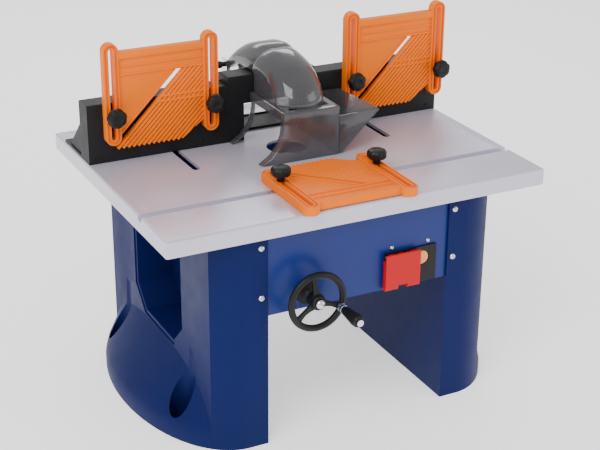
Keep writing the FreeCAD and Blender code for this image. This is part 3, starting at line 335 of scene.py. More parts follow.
# %% Round, skin and join
def rounded(mesh, width, over=25, segments=2):
    """Round every edge that turns by more than so many degrees."""
    bmesh.ops.remove_doubles(mesh, verts=mesh.verts, dist=1e-6)
    bmesh.ops.recalc_face_normals(mesh, faces=mesh.faces)
    sharp = [edge for edge in mesh.edges
             if edge.is_manifold and edge.calc_face_angle(0) > math.radians(over)]
    bmesh.ops.bevel(mesh, geom=sharp, offset=width, offset_type="OFFSET", segments=segments,
                    profile=0.5, affect="EDGES", clamp_overlap=True, material=-1)


def skin(mesh, rings, closed=False):
    """Quads between each ring of vertices and the next; closed also joins the last to the first."""
    pairs = list(zip(rings, rings[1:])) + ([(rings[-1], rings[0])] if closed else [])
    for first, second in pairs:
        for i in range(len(first)):
            j = (i + 1) % len(first)
            mesh.faces.new((first[i], first[j], second[j], second[i]))


def absorb(mesh, other):
    """Move everything of one bmesh into another."""
    passing = bpy.data.meshes.new("passing")
    other.to_mesh(passing)
    mesh.from_mesh(passing)
    bpy.data.meshes.remove(passing)
    other.free()


trial = bmesh.new()
slab(trial, (0, 0, 0), (MM, MM, MM))
rounded(trial, 0.1 * MM)
print("a rounded slab has", len(trial.faces), "faces")
trial.free()

# %% [markdown]
# Each piece ends in the same way: doubles merged, faces outward, smooth shading that stops at true
# edges, a material, and a place on a moving body. Doing that in one function means that no piece can
# miss a step. A CAD copy already faces outward, so it asks for no new normals.


# %% Settle a piece
def settle(mesh, name, material, body, stands_for=(), crease=32, recalc=True):
    """Turn a bmesh into a piece: merged, outward, smooth with sharp creases, riding on its body."""
    bmesh.ops.remove_doubles(mesh, verts=mesh.verts, dist=1e-6)
    if recalc:
        bmesh.ops.recalc_face_normals(mesh, faces=mesh.faces)
    for face in mesh.faces:
        face.smooth = True
    for edge in mesh.edges:
        edge.smooth = not (edge.is_manifold and edge.calc_face_angle(0) > math.radians(crease))
    data = bpy.data.meshes.new(name)
    mesh.to_mesh(data)
    mesh.free()
    data.materials.append(material)
    piece = bpy.data.objects.new(name, data)
    scene.collection.objects.link(piece)
    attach(piece, body)
    if stands_for:
        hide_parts(*stands_for)
    print(f"{name}: {len(data.polygons)} faces")
    return piece


# %% [markdown]
# ## Parts that keep their CAD shape
# Most of the stand, the lift and the small hardware already has its true shape in CAD. It could be
# modelled again here, but that would only risk the sizes, so it gets a finish and nothing else.

# %% Finishes by node
FINISH_OF = {
    "table_top": table_casting, "insert_ring": insert_plate, "plate_screws": zinc, "frame_screws": zinc,
    "left_leg": navy_plastic, "right_leg": navy_plastic, "front_panel": blue_paint,
    "rear_panel": blue_paint, "panel_screws": zinc, "switch_box": black_plastic, "cover_pin": zinc,
    "switch_cover": red_plastic, "start_button": green_plastic, "stop_button": amber_plastic,
    "switch_screws": zinc, "switch_bracket": zinc, "left_column": ground_steel,
    "right_column": ground_steel, "screw_gear": ground_steel, "shaft_gear": ground_steel,
    "lift_screw": ground_steel, "lift_base": cast_metal, "screw_bearing": cast_metal,
    "motor_carriage": cast_metal, "column_bushes": bronze, "lift_nut": bronze,
    "motor_housing": cast_metal, "motor_cap": black_plastic, "spindle": ground_steel,
    "collet_nut": ground_steel, "shaft_bearing": black_plastic, "wheel_shaft": ground_steel,
    "wheel_nut": zinc, "grip_axle": zinc, "fence_body": fence_black, "fence_chute": fence_black,
    "fence_screws": black_plastic, "fence_bolts": zinc, "fence_board_bolts": zinc, "mitre_bar": cast_metal,
    "mitre_bolts": zinc, "hood_bracket": zinc,
}
for node, material in FINISH_OF.items():
    data = frame["nodes"][node].data
    data.materials.clear()
    data.materials.append(material)
print(len(FINISH_OF), "nodes given a finish")

# %% [markdown]
# A CAD mesh arrives as loose triangles, so a curved leg or screw head shows its facets. Subdividing it
# would blur its edges too. A merged copy with smooth shading shows the curve, and its edges stay
# crisp, so a copy stands for each part whose curves show. The flat parts stay as they are.


# %% Smooth copies of the curved skins
def smooth_copy(node):
    mesh = bmesh.new()
    mesh.from_mesh(frame["nodes"][node].data)
    bmesh.ops.remove_doubles(mesh, verts=mesh.verts, dist=2e-6)
    settle(mesh, node + "_skin", FINISH_OF[node], body_of[node], (node,),
           crease=28, recalc=False)


for node in ("left_leg", "right_leg", "table_top", "fence_body", "fence_chute", "panel_screws",
             "switch_screws", "switch_cover", "start_button", "stop_button", "plate_screws",
             "frame_screws", "insert_ring", "wheel_nut", "motor_housing", "motor_cap", "wheel_shaft",
             "left_column", "right_column", "shaft_bearing", "grip_axle"):
    smooth_copy(node)

# %% [markdown]
# ## Ribbed table face
# The casting has fine raised ribs along two broad patches, left and right of the smooth middle, so
# that work slides on their crests. A bump could draw them, but they would vanish along the table's
# edge, so each rib is real: a low bar with sloping sides, extruded from front to back. A rib stops
# where a fence slot or the mitre slot crosses it.

# %% Ribs
table_low, table_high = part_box("table_top")
RIB_PITCH, RIB_WIDTH, RIB_HEIGHT = 4.0 * MM, 2.0 * MM, 0.22 * MM
RIBS_A_SIDE, FIRST_RIB, RIB_SINK, BACK_MARGIN = 45, 112 * MM, 0.02 * MM, 9 * MM
MITRE_BACK = -128 * MM
FENCE_SLOT, SLOT_CLEAR = 164 * MM, 8.5 * MM
SLOT_FRONT = -15 * MM
rib_mesh = bmesh.new()
face_z = table_high.z - RIB_SINK
crest_z = face_z + RIB_HEIGHT
for side in (-1, 1):
    for i in range(RIBS_A_SIDE):
        x = side * (FIRST_RIB + i * RIB_PITCH)
        back = table_high.y - BACK_MARGIN
        if abs(abs(x) - FENCE_SLOT) < SLOT_CLEAR:
            back = SLOT_FRONT
        section = [(-RIB_WIDTH / 2, face_z), (RIB_WIDTH / 2, face_z),
                   (RIB_WIDTH / 4, crest_z), (-RIB_WIDTH / 4, crest_z)]
        outline = [Vector((x + across, MITRE_BACK, z)) for across, z in section]
        extruded(rib_mesh, outline, Vector((0, back - MITRE_BACK, 0)))
settle(rib_mesh, "table_ribs", table_casting, "stand", crease=60)

# %% [markdown]
# ## Featherboards
# A featherboard presses work against the fence with springy fingers. It is one moulding: two arms
# with long slots for the bolts, each slot walled by a double rim, a thin panel between them, and a
# comb of fingers slanting down to the left. The arms could be cut from plates with booleans, which
# leave ragged corners. Here rings of the same long oval are joined one to the next by quads, so the
# groove between the two rims is part of one closed skin.

# %% The arms
BOARD_SPACING, BOARD_LENGTH, ARM_HALF = 158 * MM, 157 * MM, 12 * MM
BOARD_THICK, WEB_BACK, WEB_FRONT = 14 * MM, -3 * MM, -11 * MM
TOP_BAR = BOARD_LENGTH - 14 * MM
ROOT = BOARD_LENGTH - 52 * MM
TIP = -8 * MM
ARM_INNER = BOARD_SPACING / 2 - ARM_HALF + MM
COMB_LEFT = ARM_INNER - 30 * MM
SLIT_TOP = ARM_INNER - 45 * MM
FINGERS, FINGER_PITCH, FINGER_WIDE = 19, 8 * MM, 5.6 * MM
ARC_STEPS = 12


def long_oval(mesh, x, half, foot, head, y):
    """A closed ring of vertices round a long oval whose end arcs are centred at foot and head."""
    ring = []
    for centre, start in ((head, 0.0), (foot, math.pi)):
        for i in range(ARC_STEPS + 1):
            angle = start + math.pi * i / ARC_STEPS
            ring.append(mesh.verts.new((x + half * math.cos(angle), y, centre + half * math.sin(angle))))
    return ring


def board_arm(mesh, x):
    """One slotted arm: outer wall, groove, slot wall and slot, back and front alike."""
    foot, head = ARM_HALF, BOARD_LENGTH - ARM_HALF
    groove = 3 * MM
    section = [(12, -0.6), (11.4, 0), (9.6, 0), (9.1, -groove / MM), (6.6, -groove / MM), (6.1, 0),
               (4.2, 0), (3.6, -0.6)]
    front = [(half, -BOARD_THICK / MM - depth) for half, depth in reversed(section)]
    rings = [long_oval(mesh, x, half * MM, foot, head, depth * MM) for half, depth in section + front]
    skin(mesh, rings, closed=True)


print("the arms stand", round(BOARD_SPACING / MM), "mm apart and are", round(BOARD_LENGTH / MM), "mm long")

# %% [markdown]
# The fingers of the comb slant, all at the same angle, and their tips lie on one slope. Each finger
# could be given its own outline, but they end in three different ways, so every finger starts as the
# same slanting bar and planes trim it, which closes each cut with a flat face.


# %% The comb
def clip(mesh, point, normal):
    """Cut away what lies beyond a plane, and close the cut."""
    everything = mesh.verts[:] + mesh.edges[:] + mesh.faces[:]
    made = bmesh.ops.bisect_plane(mesh, geom=everything, plane_co=point, plane_no=normal, clear_outer=True)
    rim = [item for item in made["geom_cut"] if isinstance(item, bmesh.types.BMEdge)]
    if rim:
        bmesh.ops.holes_fill(mesh, edges=rim, sides=0)


def board_comb(mesh):
    run = ROOT - TIP
    corner_low = Vector((ARM_INNER - 39 * MM, 0, TIP))
    corner_high = Vector((ARM_INNER, 0, 21 * MM))
    cut_normal = (corner_high - corner_low).cross(Y).normalized()
    if cut_normal.z > 0:
        cut_normal = -cut_normal
    top = ROOT + 2 * MM
    reach = run + 2 * MM
    for i in range(FINGERS):
        x = COMB_LEFT + i * FINGER_PITCH
        finger = bmesh.new()
        outline = [Vector((x, WEB_BACK, top)), Vector((x + FINGER_WIDE, WEB_BACK, top)),
                   Vector((x + FINGER_WIDE - reach, WEB_BACK, TIP)), Vector((x - reach, WEB_BACK, TIP))]
        extruded(finger, outline, Vector((0, WEB_FRONT - WEB_BACK, 0)))
        clip(finger, Vector((x + FINGER_WIDE - reach, 0, TIP)), Vector((-1, 0, -1)).normalized())
        clip(finger, Vector((ARM_INNER, 0, 0)), X)
        clip(finger, corner_high, cut_normal)
        if finger.faces:
            rounded(finger, 0.45 * MM)
            absorb(mesh, finger)
        else:
            finger.free()


print(FINGERS, "fingers,", round(FINGER_PITCH / MM, 1), "mm apart")

# %% [markdown]
# A thin web joins the arms above the comb and stiffens it with a thick top bar, a ledge along the
# comb's root, a sloping rim, and two tie bars across the fingers. One outline with steps could hold them
# all, but each is a simple prism, so they are made apart, rounded apart, and absorbed into the board.


# %% The panel
def board_panel(mesh):
    """The web above the comb, with its top bar, ledge, plate rim and the comb's two tie bars."""
    plate_foot = ROOT - (SLIT_TOP + ARM_INNER)

    def piece(outline, back, front, soften=0.5 * MM):
        part = bmesh.new()
        extruded(part, [Vector((x, back, z)) for x, z in outline], Vector((0, front - back, 0)))
        rounded(part, soften)
        absorb(mesh, part)

    head = TOP_BAR - 2 * MM
    piece([(-ARM_INNER, head), (-ARM_INNER, plate_foot), (SLIT_TOP, ROOT), (ARM_INNER, ROOT),
           (ARM_INNER, head)], WEB_BACK - MM, WEB_FRONT + MM)
    bar = 11 * MM
    piece([(-ARM_INNER, TOP_BAR), (-ARM_INNER, TOP_BAR - bar), (ARM_INNER, TOP_BAR - bar),
           (ARM_INNER, TOP_BAR)], WEB_BACK + 2 * MM, WEB_FRONT - 2.4 * MM, 0.9 * MM)
    rib = 2.6 * MM
    for height, proud in ((ROOT + 1.4 * MM, 1.2 * MM), (ROOT + 14 * MM, 0.9 * MM)):
        piece([(-ARM_INNER, height), (ARM_INNER, height), (ARM_INNER, height + rib),
               (-ARM_INNER, height + rib)], WEB_BACK + proud, WEB_FRONT - proud)
    slope = rib * math.sqrt(2)
    piece([(-ARM_INNER, plate_foot), (SLIT_TOP, ROOT), (SLIT_TOP - slope, ROOT),
           (-ARM_INNER, plate_foot + slope)], WEB_BACK + MM, WEB_FRONT - MM)
    for z in (57 * MM, 65 * MM):
        left = COMB_LEFT - (ROOT - z) - MM
        piece([(left, z), (ARM_INNER, z), (ARM_INNER, z + 2.2 * MM), (left + 2.2 * MM, z + 2.2 * MM)],
              WEB_BACK + 0.4 * MM, WEB_FRONT - 0.8 * MM)


def featherboard(node, turn, origin):
    mesh = bmesh.new()
    for side in (-1, 1):
        board_arm(mesh, side * BOARD_SPACING / 2)
    board_panel(mesh)
    board_comb(mesh)
    bmesh.ops.transform(mesh, matrix=Matrix.Translation(origin) @ turn, verts=mesh.verts)
    settle(mesh, node + "_moulding", orange_plastic, body_of[node], (node,))


for node in ("left_featherboard", "right_featherboard"):
    low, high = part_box(node)
    featherboard(node, Matrix.Identity(4), Vector(((low.x + high.x) / 2, high.y, low.z - TIP)))
low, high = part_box("table_featherboard")
lying = Matrix.Rotation(math.radians(90), 4, "X")
featherboard("table_featherboard", lying, Vector(((low.x + high.x) / 2, high.y + TIP, high.z)))

# %% [markdown]
# ## Knobs
# Each clamp knob is a turned mushroom whose skirt has shallow flutes for the fingers. The flutes could
# be cut with seven cylinders. Instead the profile is spun, its corners are rounded, and the skirt's
# vertices are drawn in and out by a cosine of their angle, which leaves no seams. The depth fades to
# nothing at the neck and the crown.

# %% Fluted knobs
FLUTES, FLUTE_DEPTH = 7, 0.07


def knob(node, axis):
    low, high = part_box(node)
    axis = Vector(axis)
    tall = abs((high - low).dot(axis))
    radius = max(abs((high - low).dot(side)) for side in (X, Y, Z) if abs(side.dot(axis)) < 0.5) / 2
    middle = (low + high) / 2
    foot = middle - axis * tall / 2
    neck = max(0.4 * radius, 4 * MM if radius < 7 * MM else 6 * MM)
    mesh = bmesh.new()
    profile = [(0, 0), (neck, 0), (neck, 0.27 * tall), (0.84 * radius, 0.38 * tall),
               (radius, 0.5 * tall), (radius, 0.78 * tall), (0.84 * radius, 0.93 * tall),
               (0.5 * radius, tall), (0.36 * radius, tall), (0.32 * radius, 0.965 * tall), (0, 0.965 * tall)]
    lathe(mesh, profile, foot, axis, steps=84)
    rounded(mesh, 0.035 * tall, over=18, segments=3)
    side = axis.orthogonal().normalized()
    other = axis.cross(side)
    for vertex in mesh.verts:
        out = vertex.co - foot
        along = out.dot(axis)
        spoke = out - axis * along
        fade = max(0.0, min(1.0, (spoke.length / radius - 0.55) / 0.35))
        angle = math.atan2(spoke.dot(other), spoke.dot(side))
        vertex.co -= spoke * (FLUTE_DEPTH * fade * (0.5 - 0.5 * math.cos(FLUTES * angle)) ** 2)
    settle(mesh, node + "_turned", black_plastic, body_of[node], (node,), crease=50)


for node in ("left_board_left_knob", "left_board_right_knob", "right_board_left_knob",
             "right_board_right_knob"):
    knob(node, -Y)
for node in ("left_fence_knob", "right_fence_knob", "table_board_left_knob", "table_board_right_knob"):
    knob(node, Z)
knob("left_hood_knob", -X)
knob("right_hood_knob", X)

# %% [markdown]
# ## Handwheel
# The wheel that raises the motor is one moulding: a round rim, three spokes that dish towards the
# panel, and a stepped hub. A torus could give the rim, but a circle spun about the shaft line sits
# on that line at once. A spoke is a bar, bowed and narrowed at its middle, whose edges are rounded.

# %% Wheel
joint_at = {joint["name"]: Vector(joint["pos_m"]) for joint in frame["joints"] if "pos_m" in joint}
wheel_centre = joint_at["wheel_turn"]
RIM_RADIUS = 5 * MM
RIM_MIDDLE, RIM_SIDES = 41 * MM, 20
SPOKES, SPOKE_FOOT = 3, 9 * MM
CRANK_ANGLE = math.radians(-22)
wheel = bmesh.new()
ring_profile = [(RIM_MIDDLE + RIM_RADIUS * math.cos(a), RIM_RADIUS * math.sin(a))
                for a in [2 * math.pi * i / RIM_SIDES for i in range(RIM_SIDES + 1)]]
lathe(wheel, ring_profile, wheel_centre, Y, steps=96)
hub = bmesh.new()
lathe(hub, [(5.02 * MM, -8 * MM), (9.5 * MM, -8 * MM), (11 * MM, -6 * MM), (12 * MM, 2 * MM),
            (12 * MM, 12 * MM), (5.02 * MM, 12 * MM), (5.02 * MM, -8 * MM)], wheel_centre, Y)
rounded(hub, 0.8 * MM, segments=3)
absorb(wheel, hub)
for i in range(SPOKES):
    spoke = bmesh.new()
    slab(spoke, (SPOKE_FOOT, -2.4 * MM, -4.6 * MM), (RIM_MIDDLE, 2.4 * MM, 4.6 * MM))
    bmesh.ops.subdivide_edges(spoke, edges=spoke.edges, cuts=3, use_grid_fill=True)
    for vertex in spoke.verts:
        reach = (vertex.co.x - SPOKE_FOOT) / (RIM_MIDDLE - SPOKE_FOOT)
        vertex.co.y += 2.2 * MM * math.sin(math.pi * reach)
        vertex.co.z *= 1.25 - 0.55 * math.sin(math.pi * reach)
    rounded(spoke, 0.9 * MM, over=50, segments=3)
    turn = Matrix.Rotation(CRANK_ANGLE + 2 * math.pi / SPOKES * i, 4, -Y)
    bmesh.ops.transform(spoke, matrix=Matrix.Translation(wheel_centre) @ turn, verts=spoke.verts)
    absorb(wheel, spoke)
settle(wheel, "handwheel_moulding", black_plastic, "handwheel", ("handwheel",))

# %% [markdown]
# The crank's grip is a turned sleeve that spins on its axle. It swells towards the outer end, where
# the palm sits, and a bright ferrule closes the end by the rim. A squashed sphere would swell too, but
# it has no bore, and a spun profile keeps the bore for the axle.

# %% Grip
grip_low, grip_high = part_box("crank_grip")
grip_centre = (grip_low + grip_high) / 2
grip_foot = Vector((grip_centre.x, grip_high.y, grip_centre.z))
GRIP_BORE = 3.3 * MM
grip = bmesh.new()
lathe(grip, [(GRIP_BORE, 7 * MM), (6.4 * MM, 7 * MM), (6.8 * MM, 12 * MM), (7.8 * MM, 22 * MM),
             (9.0 * MM, 34 * MM), (9.5 * MM, 41 * MM), (9.0 * MM, 47 * MM), (7.0 * MM, 50.4 * MM),
             (GRIP_BORE, 51.1 * MM), (GRIP_BORE, 7 * MM)], grip_foot, -Y)
rounded(grip, 1.2 * MM, over=14, segments=3)
settle(grip, "crank_grip_sleeve", black_plastic, "crank_grip", ("crank_grip",),
       crease=50)
ferrule = bmesh.new()
lathe(ferrule, [(GRIP_BORE, 0.1 * MM), (6.0 * MM, 0.1 * MM), (6.6 * MM, 1.5 * MM), (6.6 * MM, 6.9 * MM),
                (GRIP_BORE, 6.9 * MM), (GRIP_BORE, 0.1 * MM)], grip_foot, -Y)
rounded(ferrule, 0.5 * MM)
settle(ferrule, "crank_grip_ferrule", zinc, "crank_grip", crease=50)

# %% [markdown]
# ## Chip guard
# The guard is a thin clear box over the cutter: a front pane, a lid with a hole for the duct, two
# frame posts at the open left side that flare out at the foot, and a right pane with an open hopper
# against it. Every thin-walled piece of the hood is made alike. Both sides of its wall could be
# modelled, but one open skin is simpler: its edges are rounded, and Solidify gives the wall inwards.

# %% Thin walls
guard_low, guard_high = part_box("guard_box")
WALL = 2.6 * MM
GUARD_LEFT, GUARD_RIGHT, LID = -37 * MM, 57 * MM, 440 * MM
POST_FRONT, POST_BACK = guard_low.y + 14 * MM, guard_high.y - 12 * MM
WINDOW_TOP = LID - 14 * MM
duct_low, duct_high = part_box("dust_duct")


def solid_skin(name, mesh, stands_for=(), soften=2.2 * MM, over=30, segments=4):
    """Round an open skin's edges, and give it a wall on the inside."""
    bmesh.ops.remove_doubles(mesh, verts=mesh.verts, dist=1e-6)
    sharp = [edge for edge in mesh.edges
             if edge.is_manifold and edge.calc_face_angle(0) > math.radians(over)]
    bmesh.ops.bevel(mesh, geom=sharp, offset=soften, offset_type="OFFSET", segments=segments,
                    profile=0.5, affect="EDGES", clamp_overlap=True, material=-1)
    piece = settle(mesh, name, smoked_plastic, "hood", stands_for, crease=40,
                   recalc=False)
    thick = piece.modifiers.new("wall", "SOLIDIFY")
    thick.thickness = WALL
    thick.offset = -1
    edge = piece.modifiers.new("edge", "BEVEL")
    edge.width = 0.5 * MM
    edge.segments = 2
    edge.limit_method = "ANGLE"
    edge.angle_limit = math.radians(50)


print("walls", round(WALL / MM, 1), "mm thick; the guard is",
      [round(side / MM) for side in guard_high - guard_low], "mm")

# %% [markdown]
# The guard's skin starts as one outline extruded towards the fence, with the flare at its foot. Its
# window and the duct's hole could be cut with booleans. Planes that only split the skin do it more
# cleanly: they cut along each border, and then the faces inside the borders are deleted.

# %% Guard
guard = bmesh.new()
foot = guard_low.z
flare = [(guard_low.x, 0), (guard_low.x + 18 * MM, 12 * MM), (GUARD_LEFT - 7 * MM, 27 * MM),
         (GUARD_LEFT - 1.5 * MM, 42 * MM), (GUARD_LEFT, 54 * MM)]
outline = [Vector((x, guard_low.y, foot + rise)) for x, rise in flare]
outline += [Vector((GUARD_LEFT, guard_low.y, LID)), Vector((GUARD_RIGHT, guard_low.y, LID)),
            Vector((GUARD_RIGHT, guard_low.y, foot))]
extruded(guard, outline, Vector((0, guard_high.y - guard_low.y, 0)))
bmesh.ops.recalc_face_normals(guard, faces=guard.faces)
hole_left, hole_right = duct_low.x + 3 * MM, duct_high.x - 3 * MM
cuts = [((0, POST_FRONT, 0), Y), ((0, POST_BACK, 0), Y), ((0, 0, WINDOW_TOP), Z),
        ((hole_left, 0, 0), X), ((hole_right, 0, 0), X)]
for point, normal in cuts:
    everything = guard.verts[:] + guard.edges[:] + guard.faces[:]
    bmesh.ops.bisect_plane(guard, geom=everything, plane_co=point, plane_no=normal)


def unwanted(face):
    """The open foot, the open back, the left window, and the duct's hole in the lid."""
    middle = face.calc_center_median()
    if face.normal.z < -0.9 and middle.z < foot + MM:
        return True
    if face.normal.y > 0.9:
        return True
    between = POST_FRONT < middle.y < POST_BACK
    if between and middle.x < GUARD_LEFT + MM and middle.z < WINDOW_TOP:
        return True
    return between and middle.z > LID - MM and hole_left < middle.x < hole_right


bmesh.ops.delete(guard, geom=[face for face in guard.faces if unwanted(face)], context="FACES")
solid_skin("guard_shell", guard, ("guard_box",))

# %% [markdown]
# The hopper catches chips beside the guard. It is a wedge with an open top: a sloped floor that leans
# out from the guard's foot, and two pointed end walls, the rear one set in a little. A cube could be
# dragged into that shape, but with eight corners it is quicker to name them and give each side its
# four.

# %% Hopper
hopper = bmesh.new()
WING_TOP = 424 * MM
WING_TAPER = 9 * MM
inner_x, outer_x = GUARD_RIGHT + 0.1 * MM, GUARD_RIGHT + 6 * MM
rim_front = Vector((guard_high.x, guard_low.y, WING_TOP))
rim_back = Vector((guard_high.x - WING_TAPER, guard_high.y, WING_TOP))
foot_front = Vector((outer_x, guard_low.y, foot))
foot_back = Vector((outer_x, guard_high.y, foot))
wall_front = Vector((inner_x, guard_low.y, WING_TOP))
wall_back = Vector((inner_x, guard_high.y, WING_TOP))
low_front = Vector((inner_x, guard_low.y, foot))
low_back = Vector((inner_x, guard_high.y, foot))
corner = [hopper.verts.new(point) for point in (rim_front, rim_back, foot_front, foot_back, wall_front,
                                                wall_back, low_front, low_back)]
for ring in ((0, 4, 6, 2), (1, 3, 7, 5), (0, 2, 3, 1), (2, 6, 7, 3)):
    hopper.faces.new([corner[i] for i in ring])
bmesh.ops.recalc_face_normals(hopper, faces=hopper.faces)
sloped = next(face for face in hopper.faces if face.calc_center_median().x > foot_front.x + 5 * MM
              and abs(face.normal.y) < 0.5)
if sloped.normal.x < 0:
    bmesh.ops.reverse_faces(hopper, faces=hopper.faces)
solid_skin("chip_hopper", hopper)

# %% [markdown]
# ## Dust duct
# The duct climbs from the guard's lid, swells over the fence and turns down to the hose. A bevelled
# curve would give it a round, even bore, but the real one is a moulding with a flat belly. So it is one
# skin drawn through a row of rounded sections. Each section stands across the air's path, from a
# point on the crown to a point on the belly, and its crown corners are much rounder than its belly
# corners.

# %% A section of the duct
DUCT_HALF = (duct_high.x - duct_low.x) / 2
DUCT_MIDDLE = (duct_high.x + duct_low.x) / 2
CORNER_STEPS = 8


def duct_ring(mesh, crown_y, crown_z, belly_y, belly_z, shrink, corner_radius):
    """One section: a rectangle across the duct with two large and two small rounded corners."""
    crown = Vector((DUCT_MIDDLE, crown_y * MM, crown_z * MM))
    belly = Vector((DUCT_MIDDLE, belly_y * MM, belly_z * MM))
    up = (crown - belly).normalized()
    tall = (crown - belly).length
    half = DUCT_HALF - shrink * MM
    big = min(corner_radius * MM, 0.8 * tall, half * 0.96)
    small = min(3 * MM, 0.15 * tall)
    corners = [(half - big, tall - big, big, 0), (-half + big, tall - big, big, 1),
               (-half + small, small, small, 2), (half - small, small, small, 3)]
    ring = []
    for across, height, radius, quarter in corners:
        for i in range(CORNER_STEPS + 1):
            angle = math.pi / 2 * (quarter + i / CORNER_STEPS)
            ring.append(mesh.verts.new(belly + X * (across + radius * math.cos(angle))
                                       + up * (height + radius * math.sin(angle))))
    return ring


print("the duct is", round(2 * DUCT_HALF / MM), "mm wide, with", 4 * (CORNER_STEPS + 1), "points a section")

# %% [markdown]
# A short table places the sections from the lid to the hose. A waist in the row, where the sections
# step in by a few millimetres, makes the crease between the front bulge and the rear lobe.

# %% Duct
BELLY = 470.2
STATIONS = [
    # crown y, z;  belly y, z;  side shrink;  crown corner radius
    (-33.5, 440.3, 73.2, 440.3, 0.0, 38), (-31, 452, 73.2, 450, 0.0, 39), (-23, 466, 73.2, 460, 0.0, 39),
    (-8, 481, 73.4, 467, 0.0, 39), (10, 493, 74, BELLY, 0.0, 39), (32, 502, 76, BELLY, 0.0, 38),
    (55, 507, 79, BELLY, 0.2, 36), (67, 507.5, 82, BELLY, 1.0, 34), (71.5, 504.5, 84, BELLY, 3.4, 33),
    (76, 508, 86, BELLY, 1.2, 33), (88, 510.4, 92, BELLY, 0.1, 33), (112, 507.6, 104, BELLY, 0.0, 31),
    (138, 499, 117, BELLY, 0.0, 29), (158, 488, 129, BELLY, 0.0, 26), (174, 475, 142, 464, 0.0, 22),
    (184, 462, 157, 456, 0.0, 15), (186.6, 452.6, 170, 449.6, 0.0, 6),
]
duct = bmesh.new()
rings = [duct_ring(duct, *station) for station in STATIONS]
skin(duct, rings)
duct.faces.new(rings[-1])
bmesh.ops.recalc_face_normals(duct, faces=duct.faces)
outward = sum(face.normal.z for face in duct.faces if face.calc_center_median().z > 495 * MM)
if outward < 0:
    bmesh.ops.reverse_faces(duct, faces=duct.faces)
solid_skin("duct_shell", duct, ("dust_duct",), soften=0.8 * MM, over=60, segments=2)

# %% [markdown]
# The hose spigot is a short tube under the rear lobe, with a bead that stops the hose slipping off.
# A solidified cylinder would do for the tube, but not for the bead, so it is spun.

# %% Spigot
PORT = Vector((DUCT_MIDDLE, 152 * MM, 415 * MM))
BORE, TUBE, BEAD, TUBE_TOP = 26.5 * MM, 28.2 * MM, 29.0 * MM, 44 * MM
spigot = bmesh.new()
lathe(spigot, [(BORE, 0), (TUBE, 0), (BEAD, 2.5 * MM), (TUBE, 5 * MM), (TUBE, TUBE_TOP), (BORE, TUBE_TOP),
               (BORE, 0)], PORT, Z, steps=64)
rounded(spigot, 0.5 * MM)
print("the spigot takes a hose of", round(2 * TUBE / MM, 1), "mm inside")

# %% [markdown]
# Beside the spigot two slotted cheeks take the clamp bolts that set the hood's height. A slot could be
# cut out of a plate, but a plate with one slot is as easily four bars round it: two uprights, a foot
# and a head.

# %% Cheeks
CHEEK_FRONT, CHEEK_BACK, CHEEK_FOOT, CHEEK_HEAD = 166 * MM, 186 * MM, 426 * MM, 462 * MM
CHEEK_THICK, SLOT_HALF, LAP = 3 * MM, 3.2 * MM, 0.2 * MM
BOLT_Y, BOLT_Z = 176 * MM, 456 * MM
SLOT_FOOT, SLOT_HEAD = CHEEK_FOOT + 7 * MM, BOLT_Z + SLOT_HALF
for x in (duct_low.x, duct_high.x - CHEEK_THICK):
    cheek = bmesh.new()
    for y0, y1, z0, z1 in ((CHEEK_FRONT, BOLT_Y - SLOT_HALF, CHEEK_FOOT, CHEEK_HEAD),
                           (BOLT_Y + SLOT_HALF, CHEEK_BACK, CHEEK_FOOT, CHEEK_HEAD),
                           (BOLT_Y - SLOT_HALF - LAP, BOLT_Y + SLOT_HALF + LAP, CHEEK_FOOT, SLOT_FOOT),
                           (BOLT_Y - SLOT_HALF - LAP, BOLT_Y + SLOT_HALF + LAP, SLOT_HEAD, CHEEK_HEAD)):
        slab(cheek, (x, y0, z0), (x + CHEEK_THICK, y1, z1))
    rounded(cheek, 0.4 * MM)
    absorb(spigot, cheek)
settle(spigot, "duct_spigot", smoked_plastic, "hood")

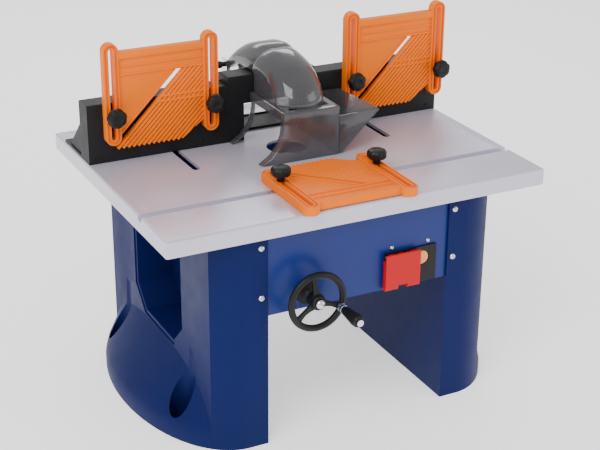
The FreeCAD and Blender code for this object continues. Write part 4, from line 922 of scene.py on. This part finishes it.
# %% [markdown]
# ## Studio
# A plain pale floor under a bright, even sky of light gives soft contact shadows. A curved backdrop
# would hide the horizon, but the floor is wide enough to fill the view from above. It glows a
# little, so that it stays paler than anything on it.

# %% Floor
floor_mesh = bmesh.new()
bmesh.ops.create_grid(floor_mesh, x_segments=1, y_segments=1, size=8)
floor_data = bpy.data.meshes.new("floor")
floor_mesh.to_mesh(floor_data)
floor_mesh.free()
floor_finish = Finish("studio_floor", Roughness=0.9, Specular_IOR_Level=0.1,
                      Emission_Color=(1.0, 1.0, 1.0, 1.0), Emission_Strength=0.8)
floor_tone = floor_finish.noise(0.7, 2.0)
floor_finish.vary(colour_wire=floor_finish.blend(floor_tone, (0.90, 0.90, 0.90, 1), (0.93, 0.93, 0.93, 1)))
floor_data.materials.append(floor_finish.material)
floor = bpy.data.objects.new("studio_floor", floor_data)
scene.collection.objects.link(floor)
print("floor:", floor_finish.material.name)

# %% [markdown]
# One sun would throw hard shadows. Instead the whole sky gives light, one large key light from the left
# front and a wide fill from the right keep the shapes readable, and a strip behind draws highlights
# along the rounded edges.

# %% Light
world = bpy.data.worlds.new("studio")
world.use_nodes = True
world.node_tree.nodes["Background"].inputs["Color"].default_value = (1.0, 1.0, 1.0, 1.0)
world.node_tree.nodes["Background"].inputs["Strength"].default_value = 0.85
scene.world = world


def area_light(name, place, target, wide, tall, watts):
    data = bpy.data.lights.new(name, "AREA")
    data.shape = "RECTANGLE"
    data.size = wide
    data.size_y = tall
    data.energy = watts
    light = bpy.data.objects.new(name, data)
    aim = Vector(target) - Vector(place)
    light.matrix_world = Matrix.Translation(place) @ aim.to_track_quat("-Z", "Y").to_matrix().to_4x4()
    scene.collection.objects.link(light)


area_light("key", (-1.6, -1.3, 2.2), (0, 0, 0.3), 1.4, 1.4, 44)
area_light("fill", (2.2, -1.8, 1.3), (0, 0, 0.25), 1.8, 1.2, 14)
area_light("rim", (0.6, 2.2, 1.9), (0, 0.1, 0.4), 2.2, 0.6, 22)

# %% [markdown]
# ## The end
